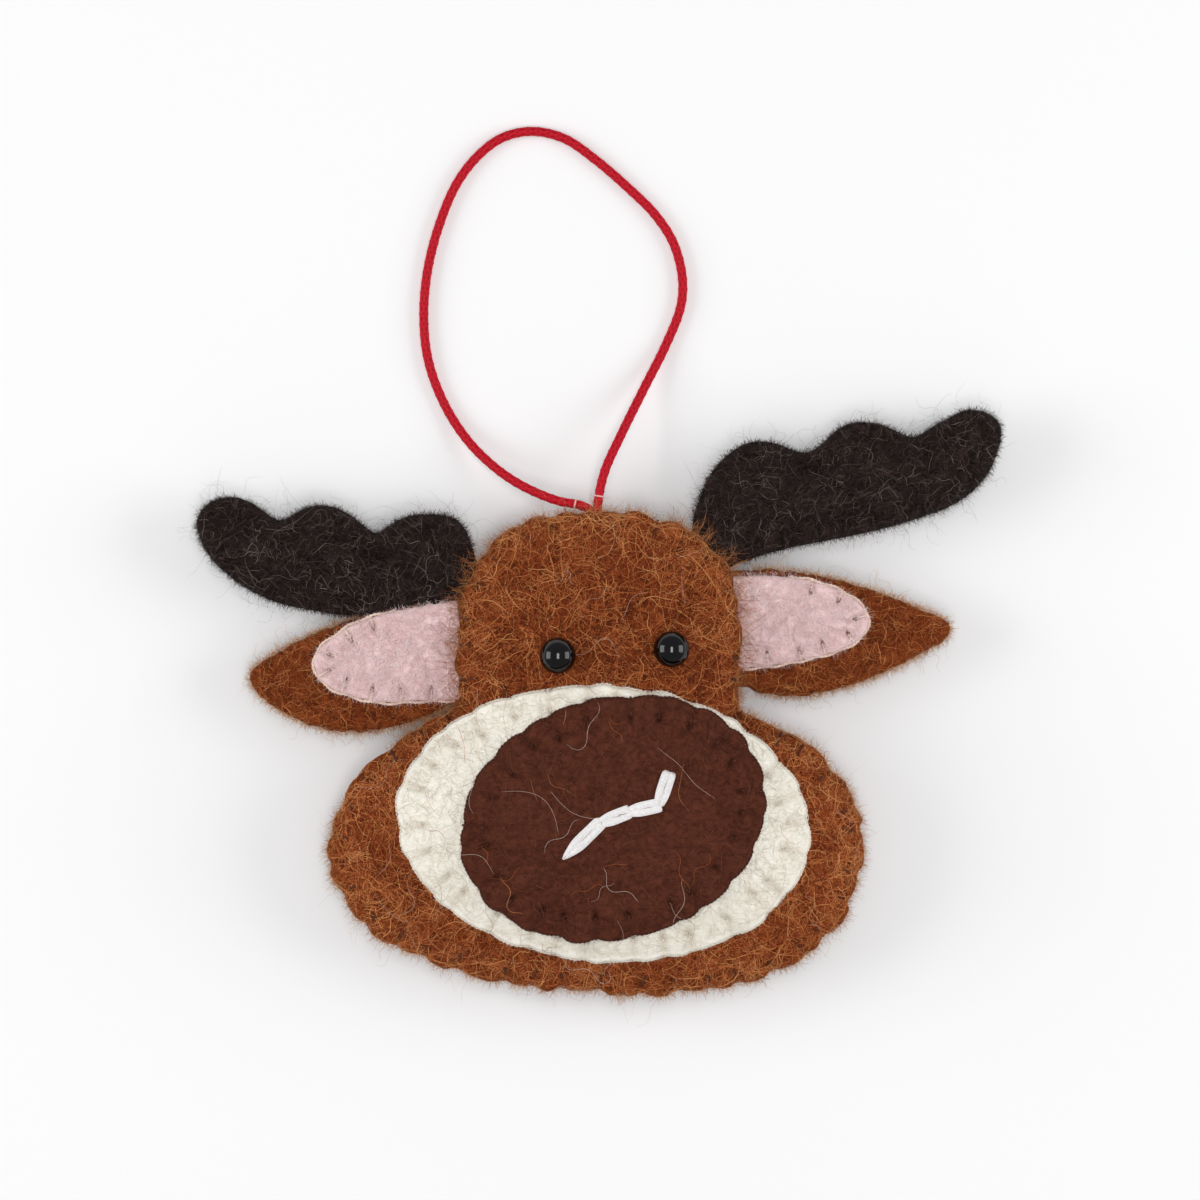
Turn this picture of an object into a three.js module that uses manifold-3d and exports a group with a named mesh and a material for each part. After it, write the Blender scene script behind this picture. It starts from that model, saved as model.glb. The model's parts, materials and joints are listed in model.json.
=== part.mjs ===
// A hand-sewn felt head ornament lying on its back, in millimetres.
// +X is to the viewer's right, +Y points to the hanger and +Z comes out of the face.

import * as THREE from 'three';
import { mergeVertices } from 'three/addons/utils/BufferGeometryUtils.js';
import Module from 'manifold-3d';

const wasm = await Module();
wasm.setup();

// Materials' thicknesses and the gaps between pieces
const panelFelt = 1.8;
const patchFelt = 1.4;
const earFelt = 1.8;
const antlerFelt = 1.4;
const threadRadius = 0.3;
const fineThreadRadius = 0.22;
const cordRadius = 0.6;
const clearance = 0.35;
const rootGap = 0.7;

// Head outline: a rounded dome above a wide oval, joined by a soft neck
const domeY = 16.2;
const domeHalfWidth = 17.8;
const domeHalfHeight = 15.9;
const domeSquareness = 2.5;
const lobeY = -9.7;
const lobeHalfWidth = 33.3;
const lobeRise = 20.5;
const lobeDrop = 18.5;
const neckBlend = 2.5;

// Head thickness: the seam stands above the table, the front swells and the back lies flat
const seamHeight = 6.5;
const seamWave = 0.3;
const seamOpening = 5;
const frontCrown = 7.4;
const frontFullness = 2.4;
const frontEdge = 0.8;
const crownBlend = 14;
const crownReturn = 6;
const backFlatShare = 0.72;
const backEdge = 1.6;
const seamGap = 2 * (threadRadius + seamWave + clearance);

// Face patches: middle, half sizes and tilt
const muzzle = { x: 0.7, y: -6.5, halfWidth: 25.5, halfHeight: 17, tilt: -4.4 };
const nose = { x: 1.85, y: -5.8, halfWidth: 19.05, halfHeight: 14.7, tilt: 17 };
const patchOpening = 3;

// Bead eyes
const beadRadius = 2.25;
const beadBore = 0.6;
const eyes = {
  left: { x: -4.8, y: 14 },
  right: { x: 8.6, y: 14.8 },
};

// Chain stitch: the holes that its links run between, a link's half width,
// and one link's way as shares of its length and half width
const chainHoles = [[-4.1, -10.5], [0.25, -6.25], [3.75, -4.9], [7.5, -4.1], [8.75, -0.25]];
const chainHalfWidth = 0.62;
const chainRadius = 0.3;
const chainLink = [[0, -0.7], [0.4, -1], [0.8, -1], [1, 0], [0.8, 1], [0.4, 1], [0, 0.7]];

// Ears: hand cut, so each side has its own pattern, with its root along the head's edge
const earTipWidth = 1.8;
const earDroop = 1.5;
const liningStart = 0.8;
const liningTipWidth = 3.2;
const ears = {
  left: {
    side: -1,
    attach: 141.5,
    turn: -6,
    rootWidth: 11,
    length: 25.2,
    topPulls: [[8, 6.5], [18, 5.2]],
    bottomPulls: [[5, -8.2], [17.5, -11.3]],
    lining: { length: 16.2, rise: 0.3, rootHalf: 5.1, pull: 5.3 },
  },
  right: {
    side: 1,
    attach: 44.7,
    turn: 0,
    rootWidth: 14.6,
    length: 25.6,
    topPulls: [[7, 8.2], [17, 4.8]],
    bottomPulls: [[5, -10], [15, -7.8]],
    lining: { length: 14.6, rise: 1, rootHalf: 5.6, pull: 5.2 },
  },
};

// Antlers: each has three bumps between its root and its tip, and one bowed lower edge
const antlerRootWidth = 5.5;
const antlerTipWidth = 1.6;
const antlerSwell = 1.2;
const antlerDroop = 1;
const bumpFullness = 0.6;
const swellFullness = 0.8;
const swellReach = 4;
const antlers = {
  left: {
    side: -1,
    attach: 123.2,
    turn: 11,
    notches: [[11.6, 2.4], [24.2, 1.8]],
    tip: [34.2, 0],
    bumps: [3.5, 2.6, 2.7],
    bottomPulls: [[7, -6.5], [26, -12.4]],
  },
  right: {
    side: 1,
    attach: 64.3,
    turn: 21,
    notches: [[14.9, 6.1], [28.5, 3]],
    tip: [38.8, -1.4],
    bumps: [5.2, 2.5, 2.9],
    bottomPulls: [[12, -5.2], [33, -10.4]],
  },
};

// Hanger: where it leaves the head, and its loop as points from there, seen from above
const exitX = -0.75;
const pivotGap = 1.25;
const cordLevel = 1.5;
const cordDrop = 22;
const cordLift = 0.08;
const cordRoute = [
  [-1.15, -0.35], [-4.25, 0.3], [-8.55, 2.1], [-12.15, 4.5], [-15.75, 8.1], [-18.65, 12.7],
  [-20.6, 18.1], [-21.15, 23.7], [-20.65, 29.4], [-19.15, 35.2], [-16.85, 40.5], [-13.95, 44.1],
  [-11.05, 46.1], [-7.5, 46.8], [-3.5, 45.9], [0.35, 43.3], [4.75, 39.5], [7.95, 36.3],
  [10.25, 32.7], [11.35, 28.4], [11.15, 24.8], [9.35, 20.1], [6.5, 14.4], [3.65, 8.6],
  [1.6, 4], [0.65, -0.9],
];
const knotRadius = 0.85;
const knotRise = 0.95;
const knotInset = 5.8;
const knotOpening = 7;

// Fineness of the facets
const headSpokes = 48;
const headRings = [0.2, 0.4, 0.58, backFlatShare, 0.84, 0.93, 1];
const fillingRings = 5;
const muzzleSpokes = 36;
const noseSpokes = 32;
const patchRings = [0.25, 0.5, 0.72, 0.88, 1];
const chainSteps = 12;
const beadSteps = 8;
const beadSides = 14;
const beadThreadSteps = 16;
const earRows = 12;
const earColumns = 5;
const earThreadSteps = 6;
const bumpSteps = 6;
const antlerColumns = 4;
const antlerThreadSteps = 8;
const bumpStitches = [0.18, 0.5, 0.82];
const seamSteps = 72;
const cordSteps = 60;
const knotSteps = 24;
const knotTubeSteps = 36;
const outlineSamples = 9;
const seatPasses = 9;
const slopeStep = 0.01;

const colours = {
  brown: new THREE.MeshStandardMaterial({ color: 0x7c4022, roughness: 0.95, metalness: 0 }),
  cream: new THREE.MeshStandardMaterial({ color: 0xece6d8, roughness: 0.95, metalness: 0 }),
  cocoa: new THREE.MeshStandardMaterial({ color: 0x542c20, roughness: 0.95, metalness: 0 }),
  pink: new THREE.MeshStandardMaterial({ color: 0xd5b2b1, roughness: 0.95, metalness: 0 }),
  charcoal: new THREE.MeshStandardMaterial({ color: 0x281e1c, roughness: 0.95, metalness: 0 }),
  black: new THREE.MeshStandardMaterial({ color: 0x0a0a0b, roughness: 0.12, metalness: 0 }),
  white: new THREE.MeshStandardMaterial({ color: 0xf0ede8, roughness: 0.6, metalness: 0 }),
  red: new THREE.MeshStandardMaterial({ color: 0xc81423, roughness: 0.7, metalness: 0 }),
  filling: new THREE.MeshStandardMaterial({ color: 0xf2f0ea, roughness: 1, metalness: 0 }),
};

// Shape helpers

function radians(degrees) {
  return THREE.MathUtils.degToRad(degrees);
}

// Merges shared points and turns the faces outwards if the body is inside out
function closedBody(geometry) {
  geometry.deleteAttribute('normal');
  geometry.deleteAttribute('uv');
  const body = mergeVertices(geometry, 1e-4);
  const point = body.attributes.position;
  const index = body.index.array;
  const corners = [new THREE.Vector3(), new THREE.Vector3(), new THREE.Vector3()];
  let volume = 0;
  for (let face = 0; face < index.length; face += 3) {
    corners.forEach((corner, k) => corner.fromBufferAttribute(point, index[face + k]));
    volume += corners[0].dot(corners[1].clone().cross(corners[2]));
  }
  if (volume < 0) {
    for (let face = 0; face < index.length; face += 3) {
      [index[face], index[face + 1]] = [index[face + 1], index[face]];
    }
  }
  body.computeVertexNormals();
  return body;
}

function meshFrom(positions, index) {
  const geometry = new THREE.BufferGeometry();
  geometry.setAttribute('position', new THREE.Float32BufferAttribute(positions, 3));
  geometry.setIndex(index);
  return closedBody(geometry);
}

// Two layers of points over one round outline, closed by a rim
function discSolid({ x, y, reach, rings, spokes, top, bottom }) {
  const positions = [];
  for (const height of [top, bottom]) {
    positions.push(x, y, height(x, y));
    for (const ring of rings) {
      for (let spoke = 0; spoke < spokes; spoke += 1) {
        const angle = (2 * Math.PI * spoke) / spokes;
        const px = x + ring * reach(angle) * Math.cos(angle);
        const py = y + ring * reach(angle) * Math.sin(angle);
        positions.push(px, py, height(px, py));
      }
    }
  }
  const layer = 1 + rings.length * spokes;
  const at = (ring, spoke) => 1 + ring * spokes + (spoke % spokes);
  const index = [];
  for (let spoke = 0; spoke < spokes; spoke += 1) {
    index.push(0, at(0, spoke), at(0, spoke + 1));
    index.push(layer, layer + at(0, spoke + 1), layer + at(0, spoke));
    for (let ring = 0; ring + 1 < rings.length; ring += 1) {
      const a = at(ring, spoke);
      const b = at(ring + 1, spoke);
      const c = at(ring + 1, spoke + 1);
      const d = at(ring, spoke + 1);
      index.push(a, b, c, a, c, d);
      index.push(layer + a, layer + c, layer + b, layer + a, layer + d, layer + c);
    }
    const rim = at(rings.length - 1, spoke);
    const next = at(rings.length - 1, spoke + 1);
    index.push(rim, layer + rim, layer + next, rim, layer + next, next);
  }
  return meshFrom(positions, index);
}

// Two layers of points over rows and columns, closed by a wall round their edge
function sheetSolid(rows, columns, top, bottom) {
  const positions = [];
  for (const point of [top, bottom]) {
    for (let row = 0; row <= rows; row += 1) {
      for (let column = 0; column <= columns; column += 1) {
        positions.push(...point(row, column));
      }
    }
  }
  const layer = (rows + 1) * (columns + 1);
  const at = (row, column) => row * (columns + 1) + column;
  const index = [];
  for (let row = 0; row < rows; row += 1) {
    for (let column = 0; column < columns; column += 1) {
      const a = at(row, column);
      const b = at(row + 1, column);
      const c = at(row + 1, column + 1);
      const d = at(row, column + 1);
      index.push(a, b, c, a, c, d);
      index.push(layer + a, layer + c, layer + b, layer + a, layer + d, layer + c);
    }
  }
  const edge = [];
  for (let row = 0; row < rows; row += 1) {
    edge.push(at(row, 0));
  }
  for (let column = 0; column < columns; column += 1) {
    edge.push(at(rows, column));
  }
  for (let row = rows; row > 0; row -= 1) {
    edge.push(at(row, columns));
  }
  for (let column = columns; column > 0; column -= 1) {
    edge.push(at(0, column));
  }
  edge.forEach((a, k) => {
    const b = edge[(k + 1) % edge.length];
    index.push(a, layer + a, layer + b, a, layer + b, b);
  });
  return meshFrom(positions, index);
}

// A round tube along a smooth curve through the points, with half as many curve segments as sides
function tube(points, radius, steps, curveSegments = 3) {
  const extrudePath = new THREE.CatmullRomCurve3(points.map((point) => new THREE.Vector3(...point)));
  const section = new THREE.Shape().absarc(0, 0, radius, 0, 2 * Math.PI, false);
  return closedBody(new THREE.ExtrudeGeometry(section, { steps, curveSegments, extrudePath }));
}

function toSolid(geometry) {
  const vertProperties = geometry.attributes.position.array;
  const triVerts = new Uint32Array(geometry.index.array);
  return new wasm.Manifold(new wasm.Mesh({ numProp: 3, vertProperties, triVerts }));
}

function fromSolid(solid) {
  const mesh = solid.getMesh();
  return meshFrom(Array.from(mesh.vertProperties), Array.from(mesh.triVerts));
}

function addPiece(group, name, geometry, material) {
  const piece = new THREE.Mesh(geometry, material);
  piece.name = name;
  group.add(piece);
  return piece;
}

// Head outline and heights

// How far a point lies outside an oval, along the ray from the oval's middle
function ovalGap(x, y, halfWidth, halfHeight, power) {
  const share = (Math.abs(x / halfWidth) ** power + Math.abs(y / halfHeight) ** power) ** (1 / power);
  return Math.hypot(x, y) * (1 - 1 / Math.max(share, 1e-6));
}

// Gap to the head's outline: the smaller of dome and oval, rounded where they meet
function headGap(x, y, blend = neckBlend) {
  const domeGap = ovalGap(x, y - domeY, domeHalfWidth, domeHalfHeight, domeSquareness);
  const lobeGap = ovalGap(x, y - lobeY, lobeHalfWidth, y > lobeY ? lobeRise : lobeDrop, 2);
  const share = THREE.MathUtils.clamp(0.5 + (0.5 * (lobeGap - domeGap)) / blend, 0, 1);
  return THREE.MathUtils.lerp(lobeGap, domeGap, share) - blend * share * (1 - share);
}

// Distance from the head's middle to its outline, found by halving
function headReach(angle, blend = neckBlend) {
  let inside = 0;
  let outside = 2 * (lobeHalfWidth + domeHalfHeight);
  for (let halving = 0; halving < 40; halving += 1) {
    const middle = (inside + outside) / 2;
    if (headGap(middle * Math.cos(angle), middle * Math.sin(angle), blend) < 0) {
      inside = middle;
    } else {
      outside = middle;
    }
  }
  return inside;
}

// Share of the way from the head's middle to its outline, with the neck's crease smoothed away inside
function headShare(x, y) {
  const angle = Math.atan2(y, x);
  const share = Math.min(1, Math.hypot(x, y) / headReach(angle));
  const smooth = Math.min(1, Math.hypot(x, y) / headReach(angle, crownBlend));
  return THREE.MathUtils.lerp(smooth, share, share ** crownReturn);
}

// Outline point and outward normal at a polar angle in degrees
function headEdge(degrees) {
  const angle = radians(degrees);
  const reach = headReach(angle);
  const x = reach * Math.cos(angle);
  const y = reach * Math.sin(angle);
  const slopeX = headGap(x + slopeStep, y) - headGap(x - slopeStep, y);
  const slopeY = headGap(x, y + slopeStep) - headGap(x, y - slopeStep);
  return { x, y, normal: Math.atan2(slopeY, slopeX) };
}

function frontInside(x, y) {
  const swell = (1 - headShare(x, y) ** frontFullness) ** frontEdge;
  return seamHeight + seamGap / 2 + frontCrown * swell;
}

function frontOutside(x, y) {
  return frontInside(x, y) + panelFelt;
}

function backOutside(x, y) {
  const rimHeight = seamHeight - seamGap / 2 - panelFelt;
  const share = Math.max(0, headShare(x, y) - backFlatShare) / (1 - backFlatShare);
  return rimHeight * share ** backEdge;
}

function backInside(x, y) {
  return backOutside(x, y) + panelFelt;
}

// Muzzle and nose lie on the front panel, one over the other
function muzzleTop(x, y) {
  return frontOutside(x, y) + clearance + patchFelt;
}

function noseTop(x, y) {
  return muzzleTop(x, y) + clearance + patchFelt;
}

function patchReach(patch, margin = 0) {
  const a = patch.halfWidth + margin;
  const b = patch.halfHeight + margin;
  return (angle) => {
    const local = angle - radians(patch.tilt);
    return (a * b) / Math.hypot(b * Math.cos(local), a * Math.sin(local));
  };
}

// Head panels, filling and seam

function buildHead(group) {
  const head = { x: 0, y: 0, reach: headReach, rings: headRings, spokes: headSpokes };
  const front = discSolid({ ...head, top: frontOutside, bottom: frontInside });
  addPiece(group, 'head_front', front, colours.brown);
  const back = discSolid({ ...head, top: backInside, bottom: backOutside });
  addPiece(group, 'head_back', back, colours.brown);

  const filling = discSolid({
    ...head,
    rings: headRings.slice(0, fillingRings),
    top: (x, y) => frontInside(x, y) - clearance,
    bottom: (x, y) => backInside(x, y) + clearance,
  });
  const pocketReach = 3 * knotRadius + cordRadius + clearance;
  const pocket = new THREE.SphereGeometry(pocketReach, 16, 10);
  pocket.translate(exitX, headReach(Math.PI / 2) - knotInset, seamHeight);
  const packed = toSolid(filling).subtract(toSolid(closedBody(pocket)));
  addPiece(group, 'head_filling', fromSolid(packed), colours.filling);

  const inset = threadRadius + clearance;
  const seam = [];
  for (let step = 0; step <= seamSteps; step += 1) {
    const angle = radians(90 - seamOpening - ((360 - 2 * seamOpening) * step) / seamSteps);
    const reach = headReach(angle) - inset;
    const wave = step % 2 === 0 ? seamWave : -seamWave;
    seam.push([reach * Math.cos(angle), reach * Math.sin(angle), seamHeight + wave]);
  }
  addPiece(group, 'head_seam_thread', tube(seam, threadRadius, 2 * seamSteps, 2), colours.brown);
}

// A sewn patch and the thread that runs round it
function buildPatch(group, name, patch, spokes, seat, material) {
  const solid = discSolid({
    x: patch.x,
    y: patch.y,
    reach: patchReach(patch),
    rings: patchRings,
    spokes,
    top: (x, y) => seat(x, y) + clearance + patchFelt,
    bottom: (x, y) => seat(x, y) + clearance,
  });
  addPiece(group, `${name}_patch`, solid, material);

  const reach = patchReach(patch, clearance + threadRadius);
  const route = [];
  for (let step = 0; step <= spokes; step += 1) {
    const angle = radians(-90 + patchOpening + ((360 - 2 * patchOpening) * step) / spokes);
    const x = patch.x + reach(angle) * Math.cos(angle);
    const y = patch.y + reach(angle) * Math.sin(angle);
    route.push([x, y, seat(x, y) + clearance + threadRadius]);
  }
  addPiece(group, `${name}_thread`, tube(route, threadRadius, spokes), material);
}

// One thread of looped links, joined where each link holds the next
function buildChain(group) {
  let chain = null;
  for (let hole = 0; hole + 1 < chainHoles.length; hole += 1) {
    const start = new THREE.Vector2(...chainHoles[hole]);
    const end = new THREE.Vector2(...chainHoles[hole + 1]);
    const along = end.clone().sub(start);
    const across = new THREE.Vector2(-along.y, along.x).normalize();
    const route = chainLink.map(([share, width]) => {
      const x = start.x + along.x * share + across.x * width * chainHalfWidth;
      const y = start.y + along.y * share + across.y * width * chainHalfWidth;
      return [x, y, noseTop(x, y) + clearance + chainRadius];
    });
    const link = toSolid(tube(route, chainRadius, chainSteps));
    chain = chain ? chain.add(link) : link;
  }
  addPiece(group, 'chain_stitch', fromSolid(chain), colours.white);
}

// A drilled bead, standing on the felt, and its thread through the bore
function buildEye(group, name, eye) {
  const mouth = Math.sqrt(beadRadius ** 2 - beadBore ** 2);
  const half = Math.atan2(mouth, beadBore);
  const profile = [];
  for (let step = 0; step <= beadSteps; step += 1) {
    const angle = -half + (2 * half * step) / beadSteps;
    profile.push(new THREE.Vector2(beadRadius * Math.cos(angle), beadRadius * Math.sin(angle)));
  }
  profile.push(profile[0].clone());
  const slopeX = frontOutside(eye.x + slopeStep, eye.y) - frontOutside(eye.x - slopeStep, eye.y);
  const slopeY = frontOutside(eye.x, eye.y + slopeStep) - frontOutside(eye.x, eye.y - slopeStep);
  const normal = new THREE.Vector3(-slopeX, -slopeY, 2 * slopeStep).normalize();
  const seat = new THREE.Vector3(eye.x, eye.y, frontOutside(eye.x, eye.y));

  const eyeGroup = new THREE.Group();
  eyeGroup.position.copy(seat).addScaledVector(normal, beadRadius + clearance);
  eyeGroup.quaternion.setFromUnitVectors(new THREE.Vector3(0, 0, 1), normal);
  group.add(eyeGroup);
  addPiece(eyeGroup, name, closedBody(new THREE.LatheGeometry(profile, beadSides)), colours.black);

  const drop = beadRadius - fineThreadRadius;
  const out = beadRadius + clearance + fineThreadRadius;
  const side = [[0, out, -drop], [0, out, -drop / 2], [0, beadRadius, 0], [0, beadRadius / 2, 0]];
  const mirrored = side.map(([x, y, z]) => [x, -y, z]).reverse();
  const thread = tube([...side, ...mirrored], fineThreadRadius, beadThreadSteps);
  addPiece(eyeGroup, `${name}_thread`, thread, colours.black);
}

// Ears and antlers: flat blades whose root lies along the head's edge

// Group at the middle of a blade's root, turned to its length, with the root's own slant
function bladeRoot(blade, rootWidth) {
  const edge = headEdge(blade.attach);
  const tangent = edge.normal + Math.PI / 2;
  const spread = (share) => ({
    x: edge.x + share * rootWidth * Math.cos(tangent),
    y: edge.y + share * rootWidth * Math.sin(tangent),
  });
  const outX = Math.cos(edge.normal);
  const outY = Math.sin(edge.normal);
  let standOff = rootGap;
  for (let pass = 0; pass < seatPasses; pass += 1) {
    let least = Infinity;
    for (let sample = 0; sample <= outlineSamples; sample += 1) {
      const root = spread(sample / outlineSamples - 0.5);
      least = Math.min(least, headGap(root.x + standOff * outX, root.y + standOff * outY));
    }
    standOff += Math.max(0, rootGap - least);
  }
  const group = new THREE.Group();
  group.position.set(edge.x + standOff * outX, edge.y + standOff * outY, seamHeight);
  group.rotation.z = blade.side > 0 ? radians(blade.turn) : Math.PI - radians(blade.turn);
  const slant = blade.side * (edge.normal - group.rotation.z);
  const half = rootWidth / 2;
  const rootTop = [-half * Math.sin(slant), half * Math.cos(slant)];
  return { group, rootTop, rootBottom: rootTop.map((value) => -value) };
}

// Cubic curve from a start to an end with two pulls
function pulledCurve(start, pulls, end) {
  const corners = [start, ...pulls, end].map((corner) => new THREE.Vector2(...corner));
  const curve = new THREE.CubicBezierCurve(...corners);
  return (share) => curve.getPoint(share);
}

// Point of a blade between its lower and upper edge, bent down towards the tip
function bladePoint(blade, shape, row, column) {
  const low = shape.bottom(row);
  const high = shape.top(row);
  const x = THREE.MathUtils.lerp(low.x, high.x, column);
  const y = THREE.MathUtils.lerp(low.y, high.y, column);
  return [x, blade.side * y, -shape.droop * (x / shape.length) ** 2];
}

// One edge of an ear's lining, above its axis or below it
function liningEdge({ length, rise, rootHalf, pull }, side) {
  const nearPull = [liningStart + length / 3, rise + side * pull];
  const farPull = [liningStart + (length * 3) / 4, rise + side * pull];
  const root = [liningStart, rise + side * rootHalf];
  const tip = [liningStart + length, rise + (side * liningTipWidth) / 2];
  return pulledCurve(root, [nearPull, farPull], tip);
}

function buildEar(parent, name, ear) {
  const { group, rootTop, rootBottom } = bladeRoot(ear, ear.rootWidth);
  group.name = name;
  parent.add(group);
  const tipHalf = earTipWidth / 2;
  const blade = { length: ear.length, droop: earDroop };
  const outer = {
    ...blade,
    top: pulledCurve(rootTop, ear.topPulls, [ear.length, tipHalf]),
    bottom: pulledCurve(rootBottom, ear.bottomPulls, [ear.length, -tipHalf]),
  };
  const inner = { ...blade, top: liningEdge(ear.lining, 1), bottom: liningEdge(ear.lining, -1) };
  const layer = (shape, height) => (row, column) => {
    const [x, y, z] = bladePoint(ear, shape, row / earRows, column / earColumns);
    return [x, y, z + height];
  };
  const half = earFelt / 2;
  const felt = sheetSolid(earRows, earColumns, layer(outer, half), layer(outer, -half));
  addPiece(group, `${name}_outer`, felt, colours.brown);
  const seat = half + clearance;
  const lining = sheetSolid(earRows, earColumns, layer(inner, seat + patchFelt), layer(inner, seat));
  addPiece(group, `${name}_inner`, lining, colours.pink);

  const margin = clearance + fineThreadRadius;
  const upperWay = [];
  const lowerWay = [];
  for (let step = 0; step < earThreadSteps; step += 1) {
    const high = inner.top(step / earThreadSteps);
    const low = inner.bottom(step / earThreadSteps);
    upperWay.push([high.x, high.y + margin]);
    lowerWay.unshift([low.x, low.y - margin]);
  }
  const tipWay = [inner.top(1), inner.bottom(1)].map((corner) => [corner.x + margin, corner.y]);
  const route = [...upperWay, ...tipWay, ...lowerWay].map(([x, y]) => {
    const sag = earDroop * (x / ear.length) ** 2;
    return [x, ear.side * y, seat + fineThreadRadius - sag];
  });
  addPiece(group, `${name}_thread`, tube(route, fineThreadRadius, 4 * earThreadSteps), colours.pink);
  return group;
}

// Upper edge of an antler: three bumps standing on the lines between its notches
function bumpedEdge(antler, start) {
  const end = [antler.tip[0], antler.tip[1] + antlerTipWidth / 2];
  const stops = [start, ...antler.notches, end].map((stop) => new THREE.Vector2(...stop));
  return (share) => {
    const bump = Math.min(antler.bumps.length - 1, Math.floor(share * antler.bumps.length + 1e-9));
    const part = share * antler.bumps.length - bump;
    const along = stops[bump + 1].clone().sub(stops[bump]);
    const across = new THREE.Vector2(-along.y, along.x).normalize();
    const rise = antler.bumps[bump] * Math.max(0, 1 - (2 * part - 1) ** 2) ** bumpFullness;
    return stops[bump].clone().addScaledVector(along, part).addScaledVector(across, rise);
  };
}

function buildAntler(parent, name, antler) {
  const { group, rootTop, rootBottom } = bladeRoot(antler, antlerRootWidth);
  group.name = name;
  parent.add(group);
  const rows = antler.bumps.length * bumpSteps;
  const tipLow = [antler.tip[0], antler.tip[1] - antlerTipWidth / 2];
  const shape = {
    top: bumpedEdge(antler, rootTop),
    bottom: pulledCurve(rootBottom, antler.bottomPulls, tipLow),
    length: antler.tip[0],
    droop: antlerDroop,
  };
  const swell = (row, column) => {
    const across = (1 - (2 * column - 1) ** 2) ** swellFullness;
    const along = (1 - (2 * row - 1) ** swellReach) ** swellFullness;
    return antlerSwell * across * along;
  };
  const layer = (side, height, firstRow = 0, firstColumn = 0) => (row, column) => {
    const rowShare = (row + firstRow) / rows;
    const columnShare = (column + firstColumn) / antlerColumns;
    const [x, y, z] = bladePoint(antler, shape, rowShare, columnShare);
    return [x, y, z + side * (height + swell(rowShare, columnShare))];
  };
  const inside = clearance / 2;
  const outside = inside + antlerFelt;
  const front = sheetSolid(rows, antlerColumns, layer(1, outside), layer(1, inside));
  addPiece(group, `${name}_front`, front, colours.charcoal);
  const back = sheetSolid(rows, antlerColumns, layer(-1, inside), layer(-1, outside));
  addPiece(group, `${name}_back`, back, colours.charcoal);
  const core = inside - clearance;
  const filling = sheetSolid(rows - 4, antlerColumns - 2, layer(1, core, 2, 1), layer(-1, core, 2, 1));
  addPiece(group, `${name}_filling`, filling, colours.filling);

  const margin = clearance + fineThreadRadius;
  const route = [];
  for (let bump = 0; bump < antler.bumps.length; bump += 1) {
    for (const part of bumpStitches) {
      const share = (bump + part) / antler.bumps.length;
      const point = shape.top(share);
      const ahead = shape.top(share + slopeStep).sub(shape.top(share - slopeStep));
      const out = new THREE.Vector2(-ahead.y, ahead.x).normalize();
      route.push(point.addScaledVector(out, margin));
    }
  }
  route.push(new THREE.Vector2(antler.tip[0] + margin, antler.tip[1]));
  for (let step = antlerThreadSteps - 1; step > 0; step -= 1) {
    const share = step / antlerThreadSteps;
    const ahead = shape.bottom(share + slopeStep).sub(shape.bottom(share - slopeStep));
    const out = new THREE.Vector2(ahead.y, -ahead.x).normalize();
    route.push(shape.bottom(share).addScaledVector(out, margin));
  }
  const edge = route.map(({ x, y }) => [x, antler.side * y, -antlerDroop * (x / shape.length) ** 2]);
  addPiece(group, `${name}_thread`, tube(edge, fineThreadRadius, 2 * rows), colours.charcoal);
  return group;
}

// Hanger cord, free to swing at the seam, and the knot that holds it inside

function buildHanger(parent) {
  const top = headReach(Math.PI / 2);
  const group = new THREE.Group();
  group.name = 'hanger';
  group.position.set(exitX, top + pivotGap, seamHeight);
  parent.add(group);
  const route = cordRoute.map(([x, y]) => {
    const fall = THREE.MathUtils.smoothstep(Math.hypot(x, y), cordLevel, cordDrop);
    return [x, y, fall * (cordRadius + cordLift - seamHeight)];
  });
  addPiece(group, 'hanger_cord', tube(route, cordRadius, cordSteps, 4), colours.red);

  const knot = [];
  for (let step = 0; step <= knotSteps; step += 1) {
    const turn = radians(180 + knotOpening + ((360 - 2 * knotOpening) * step) / knotSteps);
    const x = exitX + knotRadius * (Math.sin(turn) + 2 * Math.sin(2 * turn));
    const y = top - knotInset - knotRadius * (Math.cos(turn) - 2 * Math.cos(2 * turn));
    knot.push([x, y, seamHeight - knotRise * Math.sin(3 * turn)]);
  }
  addPiece(parent, 'hanger_knot', tube(knot, cordRadius, knotTubeSteps), colours.red);
}

const ornament = new THREE.Group();
const body = new THREE.Group();
ornament.add(body);
buildHead(body);
buildPatch(body, 'muzzle', muzzle, muzzleSpokes, frontOutside, colours.cream);
buildPatch(body, 'nose', nose, noseSpokes, muzzleTop, colours.cocoa);
buildChain(body);
for (const side of ['left', 'right']) {
  buildEye(body, `eye_${side}`, eyes[side]);
  buildEar(body, `ear_${side}`, ears[side]);
  buildAntler(body, `antler_${side}`, antlers[side]);
}

// The origin is under the middle of everything but the cord
ornament.updateMatrixWorld(true);
const middle = new THREE.Box3().setFromObject(body, true).getCenter(new THREE.Vector3());
body.position.set(-middle.x, -middle.y, 0);
buildHanger(body);

export default ornament;
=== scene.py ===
# A hand-sewn felt head ornament on a pale table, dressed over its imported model.
# The code works in millimetres and turns them into metres where a mesh is made.
import json

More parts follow.
